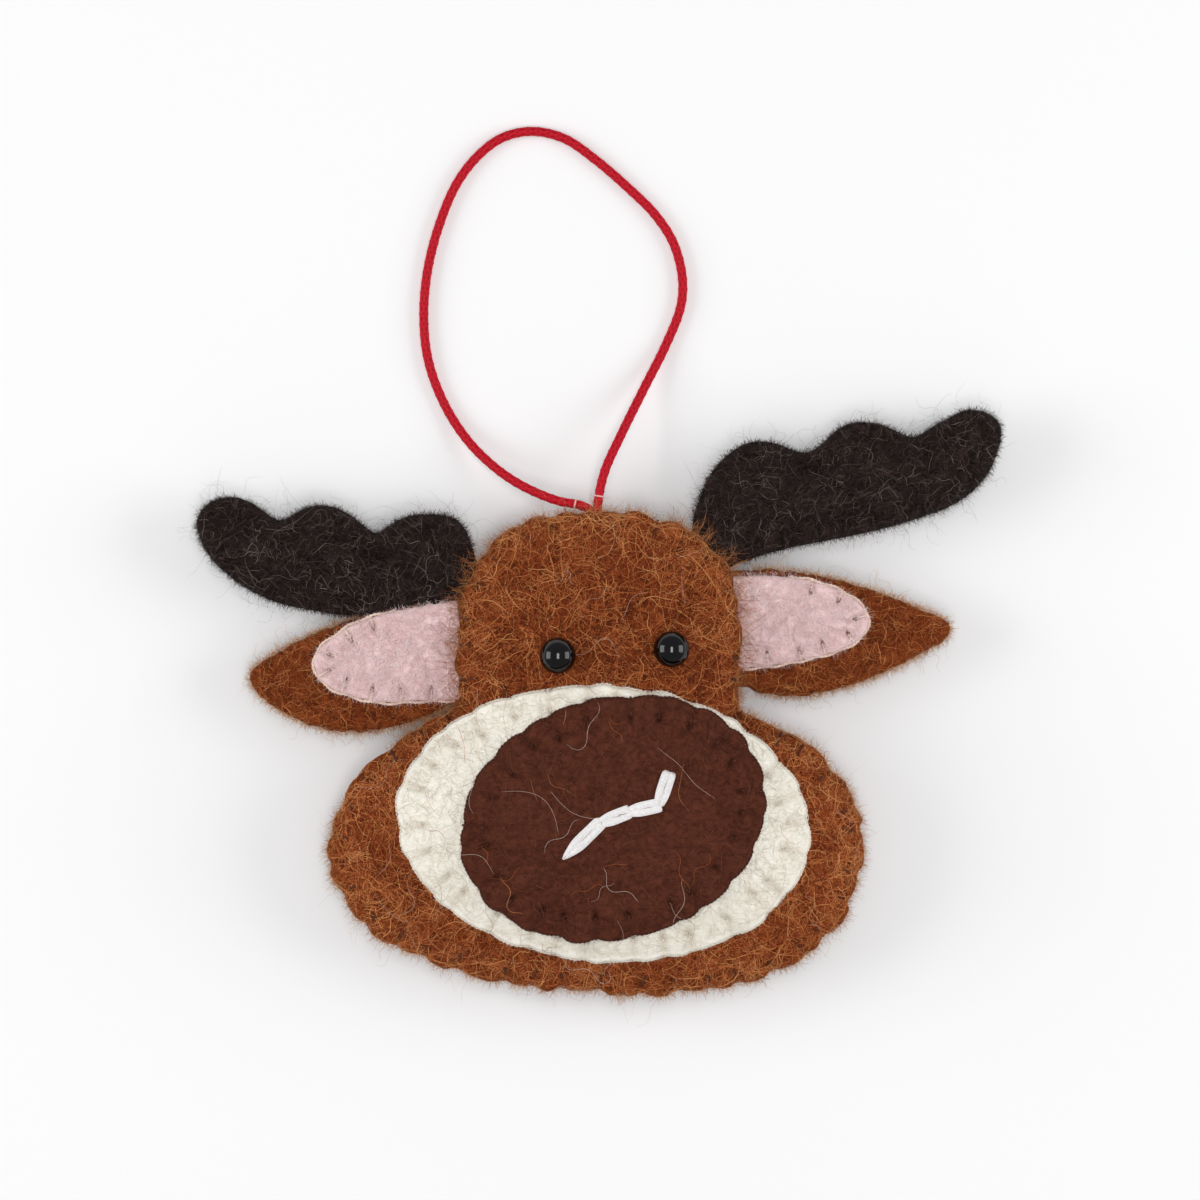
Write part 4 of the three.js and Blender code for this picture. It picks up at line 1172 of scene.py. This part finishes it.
for name, antler in antlers.items():
    body = "antler_" + name
    stand = bladeStand(body, antler, antlerFelt)
    low, high, outline = roundedEdges(
        smoothLine(antler["low"], 400), smoothLine(antler["high"], 500), antlerFelt)
    antler.update(stand=stand, outline=outline, inside=edgeField(outline))
    flat = laidOut(low, high, antlerFelt)
    middle, swell = droop(stand, flat), antlerSwell(antler, flat)
    sewn = holesAlong(outline[40:-40], antlerFelt, antler["seed"] + 3)
    for layer, face in {"front": 1, "back": -1}.items():
        inner = middle + face * (antlerFelt["seamGap"] + 0.85 * swell)
        outer = middle + face * (antlerThick + swell)
        top, under = np.maximum(inner, outer), np.minimum(inner, outer)
        felt = feltBlade(*tuckedRoot(low, high, top, under, antlerFelt), antlerFelt)
        piece = feltPiece(body + "_" + layer + "_felt", stand, felt, antlerFelt, antler["seed"] + face,
                          charcoalFelt, sewn, face)
        attach(piece, stand, body + "_" + layer)
    rows = antlerCore["rows"]
    across = high[rows] - low[rows]
    low, high = low[rows] + across * antlerCore["from"], low[rows] + across * antlerCore["to"]
    core = np.maximum(0.02, 0.8 * swell[rows] - 0.05)
    middle = droop(stand, laidOut(low, high, antlerCore))
    felt = feltBlade(low, high, middle + core, middle - core, antlerCore)
    piece = ringPiece(body + "_wadding", stand, felt[0], stuffingWool)
    attach(piece, stand, body + "_filling")

    # edge thread: a loop over both layers at each hole, and the thread between loops along the seam
    hole, way, rim = sewn["holes"], sewn["ways"], sewn["edge"]
    level = droop(stand, hole)
    runs = runsThrough([
        (hole, level + antlerThick), (rim - way * 0.8, level + antlerThick + 0.02),
        (rim - way * 0.15, level + antlerThick * 0.7), (rim + way * 0.08, level),
        (rim - way * 0.15, level - antlerThick * 0.7), (rim - way * 0.8, level - antlerThick - 0.02),
        (hole, level - antlerThick)], 18)
    line = evenSteps(outline, 420)
    seam = raised(movedOut(line, 0.02), droop(stand, line))
    piece = sewnThread(body + "_stitches", stand, runs, seam, antlerFelt, charcoalThread)
    attach(piece, stand, body + "_thread")
print("antlers sewn")


# Hanger: a braided cord loop that leaves the seam and lies on the table, and its knot inside the head

hanger = {
    "radius": 0.6, "level": 1.5, "drop": 22.0, "lift": 0.08, "steps": 1350, "sides": 18, "relief": 0.06,
    "pitch": 2.6, "carriers": 6, "bendStart": -1.9, "bendEnd": 2.6,
    "bindings": [[-2.0, -0.05], [0.85, 0.95]], "bindRadius": 0.06, "bindPitch": 0.012,
    "route": [
        [0.05, -2.3], [-0.25, -0.9], [-1.5, -0.25], [-4.25, 0.3], [-8.55, 2.1], [-12.15, 4.5], [-15.75, 8.1],
        [-18.65, 12.7], [-20.6, 18.1], [-21.15, 23.7], [-20.65, 29.4], [-19.15, 35.2], [-16.85, 40.5],
        [-13.95, 44.1], [-11.05, 46.1], [-7.5, 46.8], [-3.5, 45.9], [0.35, 43.3], [4.75, 39.5], [7.95, 36.3],
        [10.25, 32.7], [11.35, 28.4], [11.15, 24.8], [9.35, 20.1], [6.5, 14.4], [3.65, 8.6], [1.6, 4],
        [0.75, 0.2], [0.65, -2.3]],
}
hangerPivot = pivotOf("hanger_swing")
route = np.array(hanger["route"])
fall = smoothStep((far(route) - hanger["level"]) / (hanger["drop"] - hanger["level"]))
fall = np.where(route[:, 1] < 0, 0, fall)
routeHeight = fall * (hanger["radius"] + hanger["lift"] - seamHeight)
cordLine = evenSteps(smoothLine(raised(route, routeHeight) + hangerPivot, 4000), hanger["steps"])


# a braid: the radius swells where a right-hand strand crosses over and dips between strands;
# both hands wind at one pitch, and each spot shows whichever strand is on top
def braidPiece(name, line, settings):
    around = settings["carriers"] * np.arange(settings["sides"]) * 2 * np.pi / settings["sides"]
    wind = 4 * np.pi * travelled(line)[:, None] / settings["pitch"]
    crown = np.maximum(np.cos(around - wind), np.cos(around + wind))
    radius = settings["radius"] - settings["relief"] + settings["relief"] * crown
    points = tubePoints(line[None], radius[None], settings["sides"])[0]
    # the dips between strands are marked for painted shade, the crowns for painted light
    return ringPiece(name, None, points - headMiddle, redCord, np.clip(0.5 - 0.5 * crown, 0, 1), tableGap)


cordPiece = braidPiece("hanger_cord_braid", cordLine, hanger)
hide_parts("hanger_cord")

# a few turns of pale thread bind each strand where it leaves the seam
turn = np.linspace(0, 4 * np.pi, 60)
bindings = []
for at in hanger["bindings"]:
    step = np.argmin(far(cordLine[:, :2] - (hangerPivot[:2] + np.array(at))))
    ahead = unit(cordLine[step + 3] - cordLine[step - 3])
    across = unit(np.cross(ahead, upwards))
    circle = np.outer(np.cos(turn), across) + np.outer(np.sin(turn), np.cross(across, ahead))
    bindings.append(cordLine[step] + hanger["radius"] * circle + np.outer(turn, ahead) * hanger["bindPitch"])
sets = [(np.array(bindings) - headMiddle, hanger["bindRadius"], 6)]
bindingPiece = threadPiece("hanger_binding", None, sets, paleBinding, threadTip)
for piece in (cordPiece, bindingPiece):
    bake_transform(piece)

# the knot: a trefoil, sin t + 2 sin 2t across and cos t - 2 cos 2t along, rising with sin 3t
knot = {"size": 0.85, "rise": 0.95}
turn = np.linspace(0, 2 * np.pi, 300)
knotLine = np.stack([knot["size"] * (np.sin(turn) + 2 * np.sin(2 * turn)),
                     -knot["size"] * (np.cos(turn) - 2 * np.cos(2 * turn)),
                     -knot["rise"] * np.sin(3 * turn)], axis=-1)
knotLine += nodeBox("hanger_knot").mean(axis=0) - (knotLine.min(axis=0) + knotLine.max(axis=0)) / 2
piece = braidPiece("hanger_knot_braid", knotLine[:-8], {**hanger, "sides": 14})
attach(piece, None, "hanger_knot")


# Wool fibres

# each wool's slot and its shades from dark to light
wools = {
    "brown": ("brown_felt", (
        (0.075, 0.0125, 0.0036), (0.29, 0.052, 0.0143), (0.53, 0.147, 0.042), (0.74, 0.33, 0.12))),
    # the rim and root wools of the edge fuzz are lighter and more golden than the brown: painted light
    # shining through thin fuzz
    "rim": ("brown_felt", ((0.36, 0.12, 0.036), (0.62, 0.31, 0.12), (0.84, 0.62, 0.38))),
    "root": ("brown_felt", ((0.27, 0.07, 0.02), (0.48, 0.17, 0.055), (0.72, 0.4, 0.19))),
    "cream": ("cream_felt", ((0.78, 0.71, 0.585), (0.895, 0.85, 0.75), (0.94, 0.92, 0.865))),
    "cocoa": ("cocoa_felt", ((0.05, 0.014, 0.008), (0.11, 0.032, 0.018), (0.21, 0.078, 0.046))),
    "pink": ("pink_felt", ((0.70, 0.45, 0.45), (0.94, 0.715, 0.71), (0.97, 0.85, 0.84))),
    "charcoal": ("charcoal_felt", (
        (0.006, 0.004, 0.0035), (0.034, 0.021, 0.019), (0.11, 0.078, 0.07), (0.34, 0.27, 0.24))),
    "hair": ("cream_felt", ((0.30, 0.15, 0.09), (0.62, 0.46, 0.36), (0.80, 0.68, 0.60))),
    "grey": ("charcoal_felt", ((0.05, 0.04, 0.038), (0.20, 0.17, 0.155), (0.42, 0.37, 0.34))),
}
matted = {"wool": "brown", "length": (2.5, 9.0), "steps": 7, "curl": 0.2, "sway": 0.6,
          "thickness": (0.026, 0.062), "lift": (0.03, 0.2), "arch": 0.15, "tone": (1.0, 1.3)}
fine = {**matted, "length": (1.2, 4.5), "steps": 6, "curl": 0.3, "lift": (-0.03, 0.06), "arch": 0.08,
        "tone": (2.0, 2.0)}
fuzzy = {"wool": "rim", "steps": 3, "curl": 0.5, "sway": 0.5, "thickness": (0.011, 0.022), "spread": 0.85,
         "inset": (0.05, 0.35), "rise": 0.3, "tone": (1.9, 1.9)}
wispy = {"wool": "rim", "length": (1.2, 5.5), "steps": 10, "curl": 0.35, "sway": 0.9,
         "thickness": (0.01, 0.018), "spread": 0.9, "inset": (0.05, 0.35), "rise": 1.0, "tone": (2.0, 2.0)}
stray = {"wool": "hair", "length": (4.0, 13.0), "steps": 18, "curl": 0.16, "sway": 0.7,
         "thickness": (0.016, 0.028), "lift": (0.03, 0.15), "arch": 0.5, "tone": (2.2, 1.6)}
headBox = np.array([-36.0, -30.0]), np.array([36.0, 33.0])


# spots spread evenly over a box and kept where they are wanted
def scatter(count, low, high, wanted, draw):
    spots = draw.uniform(low, high, (count * 12, 2))
    return spots[wanted(spots)][:count]


def drawFrom(limits, draw, count, lean=(1.3, 2.4)):
    return limits[0] + (limits[1] - limits[0]) * draw.beta(*lean, count)


# plane curves: the heading turns steadily and sways on the way; without headings they lie round their spots
def wander(spots, lengths, settings, draw, headings=None):
    count, steps = len(spots), settings["steps"]
    share = np.linspace(0, 1, steps)
    heading = draw.uniform(0, 2 * np.pi, count) if headings is None else headings
    bend = draw.normal(0, settings["curl"], count)
    sway = draw.normal(0, settings["sway"], count)
    phase = draw.uniform(0, 2 * np.pi, count)
    turn = (heading[:, None] + (bend * lengths)[:, None] * share
            + sway[:, None] * np.sin(2 * np.pi * 1.4 * share + phase[:, None]))
    moves = rays(turn) * (lengths / (steps - 1))[:, None, None]
    paths = np.concatenate([np.zeros((count, 1, 2)), np.cumsum(moves[:, :-1], axis=1)], axis=1)
    if headings is None:
        paths -= paths[:, steps // 2][:, None, :]
    return spots[:, None, :] + paths


# fibres as thin three-sided tubes that taper to both ends, each with a small cell of the bake map
def addFibres(name, stand, paths, settings, draw, lighter=0.0):
    count, steps = paths.shape[:2]
    slot, shades = wools[settings["wool"]]
    thickness = draw.uniform(*settings["thickness"], count)
    share = np.clip(draw.beta(*settings["tone"], count) + lighter, 0, 1)
    stops = np.linspace(0, 1, len(shades))
    tones = np.stack([np.interp(share, stops, values) for values in np.transpose(shades)], axis=-1)
    taper = np.sin(np.pi * np.linspace(0.1, 0.9, steps)) ** 0.5
    points = tubePoints(placed(stand, paths), (thickness[:, None] * taper)[..., None], 3)
    across = int(np.ceil(np.sqrt(count)))
    corner = np.stack([np.arange(count) % across, np.arange(count) // across], axis=-1)[:, None, None, :]
    inCell = np.stack(np.meshgrid(0.15 + 0.35 * np.arange(3), 0.15 + 0.7 * np.linspace(0, 1, steps)), axis=-1)
    piece = addPiece(name, points, tubeFaces(count, steps, 3), woolFibre,
                     tones=np.repeat(tones, steps * 3, axis=0),
                     cells=(corner + inCell).reshape(-1, 2) / across)
    attach(piece, stand)


# fibres lying on a height: each keeps close to it, arches between its ends and lifts towards one end
def layOn(flat, height, settings, draw):
    count, share = len(flat), np.linspace(0, 1, flat.shape[1])
    lift = draw.uniform(*settings["lift"], count)[:, None]
    arch = np.abs(draw.normal(0, settings["arch"], count))[:, None] * np.sin(np.pi * share)
    tip = np.abs(draw.normal(0, settings["arch"], count))[:, None] * np.maximum(0, share - 0.6) * 2
    return raised(flat, height(flat) + lift + arch + tip)


# fuzz along an outline: it starts a little inside the edge and heads outwards, more or less; it lies about a
# level, on a blade its middle plane, and may be longer over the roots of the ears and antlers
def addFuzz(name, stand, outline, half, settings, level=None):
    draw = np.random.default_rng(settings["seed"])
    count = settings["count"]
    at = draw.uniform(0.02, 0.98, count)
    spots = pointsAlong(outline, at)
    ahead = pointsAlong(outline, at + 0.004) - pointsAlong(outline, at - 0.004)
    outward = np.arctan2(-ahead[:, 0], ahead[:, 1])
    lengths = drawFrom(settings["length"], draw, count, (1.1, 2.6))
    lengths *= 1 + settings.get("longer", 0) * partedSeam(spots)
    starts = spots - rays(outward) * draw.uniform(*settings["inset"], count)[:, None]
    headings = outward + draw.normal(0, settings["spread"], count)
    flat = wander(starts, lengths + 0.2, settings, draw, headings)
    share = np.linspace(0, 1, settings["steps"])
    z = draw.uniform(-1, 1, count)[:, None] * half + draw.normal(0, settings["rise"], count)[:, None] * share
    z = z + (droop(stand, flat) if level is None else level(flat))
    addFibres(name, stand, raised(flat, z), settings, draw)


# paths drawn back towards a middle where they pass an edge: what is past it levels off at the most allowed
def drawnBack(flat, past, middle, most):
    past = np.maximum(0, past)
    away = flat - middle
    back = (past - most * (1 - np.exp(-past / most))) / np.maximum(far(away), 1e-6)
    return flat - away * back[..., None]


# fibres over a part of the head, bent down where they pass its edge; a patch keeps its own
def headFibres(name, settings, height, wanted, face=1, patch=None):
    draw = np.random.default_rng(settings["seed"])
    spots = scatter(settings["count"], *headBox, wanted, draw)
    flat = wander(spots, drawFrom(settings["length"], draw, len(spots)), settings, draw)
    if patch is None:
        flat = drawnBack(flat, far(flat) - roundAt(angleOf(flat), headAngles, headRim) + 0.1, centre, 0.25)
    else:
        flat = drawnBack(flat, -insidePatch(patch, flat), patch["middle"], 0.12)
    paths = layOn(flat, lambda at: face * height(at) - 0.6 * np.maximum(0, -insideHead(at)), settings, draw)
    paths[..., 2] *= face
    # fibres near the rim are lifted towards their lightest shades as painted light
    lighter = settings.get("lighter", 0) + settings.get("paintedRimLight", 0) * headShare(spots) ** 10
    addFibres(name, None, paths, settings, draw, lighter)


# the highest felt of the face at a spot: front panel, then muzzle, then nose, with soft steps at their edges
def faceHeight(spots):
    steps = sum(smoothStep(insidePatch(patch, spots) / 0.9 + 0.55) for patch in (muzzle, nose))
    return frontHeight(spots) + (muzzle["gap"] + muzzle["felt"]) * steps


def onBrown(spots):
    return (insideHead(spots) > 0) & (insidePatch(muzzle, spots) < 1.2)


def onFace(spots):
    return insideHead(spots) > 0.3


headFibres("head_dome_fibres", {**matted, "count": 4200, "paintedRimLight": 0.3, "seed": 101}, panelTop,
           lambda spots: onBrown(spots) & (spots[:, 1] > 2))
# the lobe's fibres are painted a little lighter than the dome's, as painted light
headFibres("head_lobe_fibres", {**matted, "count": 4200, "paintedRimLight": 0.25, "lighter": 0.04, "seed": 106},
           panelTop, lambda spots: onBrown(spots) & (spots[:, 1] <= 2))
headFibres("head_back_fibres", {**matted, "count": 1000, "steps": 6, "arch": 0.08, "seed": 102}, panelLow,
           onFace, face=-1)
headFibres("muzzle_fibres", {**fine, "wool": "cream", "count": 1700, "thickness": (0.02, 0.04), "seed": 104},
           muzzleHeight, lambda spots: (insidePatch(muzzle, spots) > -0.1) & (insidePatch(nose, spots) < 1.0),
           patch=muzzle)
headFibres("nose_fibres", {**fine, "wool": "cocoa", "count": 1350, "thickness": (0.018, 0.034), "seed": 105},
           noseHeight, lambda spots: insidePatch(nose, spots) > -0.1, patch=nose)
headFibres("face_strays", {**stray, "count": 34, "seed": 107}, faceHeight, onFace)
headFibres("face_brown_strays", {**stray, "wool": "brown", "count": 50, "length": (2.5, 8.0), "arch": 0.3,
                                 "tone": (2.0, 1.6), "seed": 108}, faceHeight, onFace)


def closedRing(angles, reach):
    ring = reach[:, None] * rays(angles)
    return np.concatenate([ring, ring[:1]])


def seamLevel(spots):
    return seamHeight


# the front panel's rim, and over the roots of the ears and antlers the felt that lies on them
def rimLevel(spots):
    return np.maximum(panelTop(spots), np.where(partedSeam(spots) > 0.75, seamHeight + 2.75, 0))


patchFuzz = {**fuzzy, "count": 2400, "length": (0.1, 0.7), "thickness": (0.009, 0.018)}
for name, patch, wool, seed in (("muzzle_fuzz", muzzle, "cream", 110), ("nose_fuzz", nose, "cocoa", 111)):
    addFuzz(name, None, closedRing(patchAngles, patch["rim"]) + patch["middle"], 0.45,
            {**patchFuzz, "wool": wool, "seed": seed}, lambda spots: patchTop(patch, spots) - 0.45)
headOutline = closedRing(headAngles, headRim)
addFuzz("head_edge_fibres", None, headOutline, 1.7,
        {**fuzzy, "count": 6200, "length": (0.3, 1.6), "seed": 103}, seamLevel)
addFuzz("head_edge_wisps", None, headOutline, 1.7,
        {**wispy, "count": 240, "thickness": (0.008, 0.015), "seed": 109}, seamLevel)
addFuzz("head_rim_fuzz", None, headOutline, 0.12,
        {**fuzzy, "wool": "root", "count": 3600, "length": (0.5, 2.1), "inset": (0.1, 0.9),
         "thickness": (0.012, 0.026), "longer": 1.4, "seed": 112}, rimLevel)
print("head fibres laid")


# fibres over one or both faces of a blade, rounding its edge where they pass it; none lies over a hole
def bladeFibres(name, stand, outline, inside, half, settings, faces, holes=None):
    mostPast, holeRoom = 0.5, 0.24
    draw = np.random.default_rng(settings["seed"])
    corners = outline.min(axis=0), outline.max(axis=0)
    spots = scatter(settings["count"], *corners, lambda at: inside(at) > 0.15, draw)
    flat = wander(spots, drawFrom(settings["length"], draw, len(spots)), settings, draw)
    flat = flat[inside(flat).min(axis=1) > -mostPast]
    if holes is not None:
        flat = flat[far(flat[:, :, None, :] - holes).min(axis=(1, 2)) > holeRoom]
    face = draw.choice(faces, len(flat))[:, None]
    past = np.clip(-inside(flat) / 1.2 + 0.35, 0, 1)
    paths = layOn(flat, lambda at: half(at) * (1 - past ** 2), settings, draw)
    paths[..., 2] = droop(stand, flat) + face * paths[..., 2]
    addFibres(name, stand, paths, settings, draw)


for name, ear in ears.items():
    body = "ear_" + name
    stand, outline, lining, seed = (ear[key] for key in ("stand", "outline", "lining", "seed"))
    bladeFibres(body + "_fibres", stand, outline, edgeField(outline), lambda spots: earHalf,
                {**matted, "count": 3000, "steps": 5, "length": (1.3, 5.0), "thickness": (0.02, 0.044),
                 "arch": 0.1, "seed": seed + 60}, [-1, 1, 1])
    addFuzz(body + "_fuzz", stand, outline, 0.8,
            {**fuzzy, "count": 2900, "length": (0.25, 1.5), "seed": seed + 61})
    addFuzz(body + "_wisps", stand, outline, 0.8, {**wispy, "count": 80, "seed": seed + 64})
    bladeFibres(body + "_lining_fibres", stand, lining, edgeField(lining), lambda spots: liningTop,
                {**fine, "wool": "pink", "count": 1650, "thickness": (0.022, 0.045), "tone": (1.5, 1.2),
                 "seed": seed + 62}, [1], ear["holes"])
    addFuzz(body + "_lining_fuzz", stand, lining, 0.4,
            {**fuzzy, "wool": "pink", "count": 420, "length": (0.3, 1.2), "thickness": (0.014, 0.026),
             "seed": seed + 63}, lambda spots: droop(stand, spots) + liningTop - 0.6)

for name, antler in antlers.items():
    body = "antler_" + name
    stand, outline, seed = (antler[key] for key in ("stand", "outline", "seed"))

    def antlerHalf(spots):
        return antlerThick + antlerSwell(antler, spots)

    bladeFibres(body + "_fibres", stand, outline, antler["inside"], antlerHalf,
                {**matted, "wool": "charcoal", "count": 4200, "steps": 5, "length": (0.9, 3.6), "curl": 0.35,
                 "thickness": (0.017, 0.038), "arch": 0.1, "tone": (1.0, 2.1), "seed": seed + 60}, [-1, 1, 1])
    addFuzz(body + "_fuzz", stand, outline, 1.3,
            {**fuzzy, "wool": "charcoal", "count": 4800, "length": (0.25, 1.2), "thickness": (0.016, 0.032),
             "tone": (1.2, 2.6), "seed": seed + 61})
    addFuzz(body + "_hairs", stand, outline, 1.3,
            {**wispy, "wool": "grey", "count": 160, "length": (1.5, 7.0), "thickness": (0.008, 0.014),
             "seed": seed + 62})
    bladeFibres(body + "_strays", stand, outline, antler["inside"], antlerHalf,
                {**stray, "wool": "grey", "count": 18, "length": (2.5, 8.0), "steps": 14, "curl": 0.3,
                 "arch": 0.3, "thickness": (0.014, 0.024), "seed": seed + 63}, [1])
print("ear and antler fibres laid")


# Table, light and camera

studio = {"floorColour": np.array([0.93, 0.93, 0.935]), "floorHalf": 3000, "skyStrength": 0.33,
          "photoMiddle": (0.25, 21.25), "photoWidth": 150.0, "lens": 250.0, "sensor": 36.0}
lamps = {
    "topPanel": {"way": (0.03, -0.04, 1.0), "far": 0.9, "size": (0.2, 0.55), "power": 3.2},
    "leftPanel": {"way": (-0.87, 0.04, 0.45), "far": 0.75, "size": (0.4, 0.5), "power": 2.5},
    "rightPanel": {"way": (0.87, 0.04, 0.45), "far": 0.75, "size": (0.4, 0.5), "power": 2.3},
}
floorMaterial, base = newMaterial("paleTable")
place = base.make("TexCoord", output="Object")
floorColour = place.noise(6.0, 2.0, 0.3, 0.7).blend(
    withAlpha(studio["floorColour"]), withAlpha(studio["floorColour"] * 0.992))
finished(base, {"Base Color": floorColour, "Roughness": 0.9, "Specular IOR Level": 0.1})
floorCorners = np.array([[-1, -1, 0], [1, -1, 0], [1, 1, 0], [-1, 1, 0]]) * studio["floorHalf"] * mm
floorMesh = bpy.data.meshes.new("paleTable")
floorMesh.from_pydata(floorCorners.tolist(), [], [[0, 1, 2, 3]])
floorMesh.materials.append(floorMaterial)
linkObject("paleTable", floorMesh)

world = bpy.data.worlds.new("softSky")
world.use_nodes = True
world.node_tree.nodes.clear()
sky = Wire(world.node_tree)
background = sky.make("Background", {"Color": (1, 1, 1, 1), "Strength": studio["skyStrength"]})
sky.make("OutputWorld", {"Surface": background})
scene.world = world
aim = (headMiddle + np.array([*studio["photoMiddle"], seamHeight])) * mm


# turns an object to look along a way, with the frame's Y up in its view where it can be
def lookAlong(thing, way):
    back = -unit(way)
    side = unit(np.cross([0.0, 1.0, 0.0], back))
    matrix = np.eye(4)
    matrix[:3] = np.stack([side, np.cross(back, side), back, thing.location], axis=-1)
    thing.matrix_world = Matrix(matrix.tolist())


for name, lamp in lamps.items():
    data = bpy.data.lights.new(name, "AREA")
    data.energy = lamp["power"]
    data.shape = "RECTANGLE"
    data.size, data.size_y = lamp["size"]
    light = linkObject(name, data)
    way = unit(np.array(lamp["way"]))
    light.location = aim + way * lamp["far"]
    lookAlong(light, -way)

cameraData = bpy.data.cameras.new("photoCamera")
cameraData.lens = studio["lens"]
cameraData.sensor_width = studio["sensor"]
cameraData.clip_end = 20.0
camera = linkObject("photoCamera", cameraData)
camera.location = aim + upwards * studio["photoWidth"] * mm * studio["lens"] / studio["sensor"]
scene.camera = camera
scene.view_settings.view_transform = "Standard"
print("table, light and camera set")
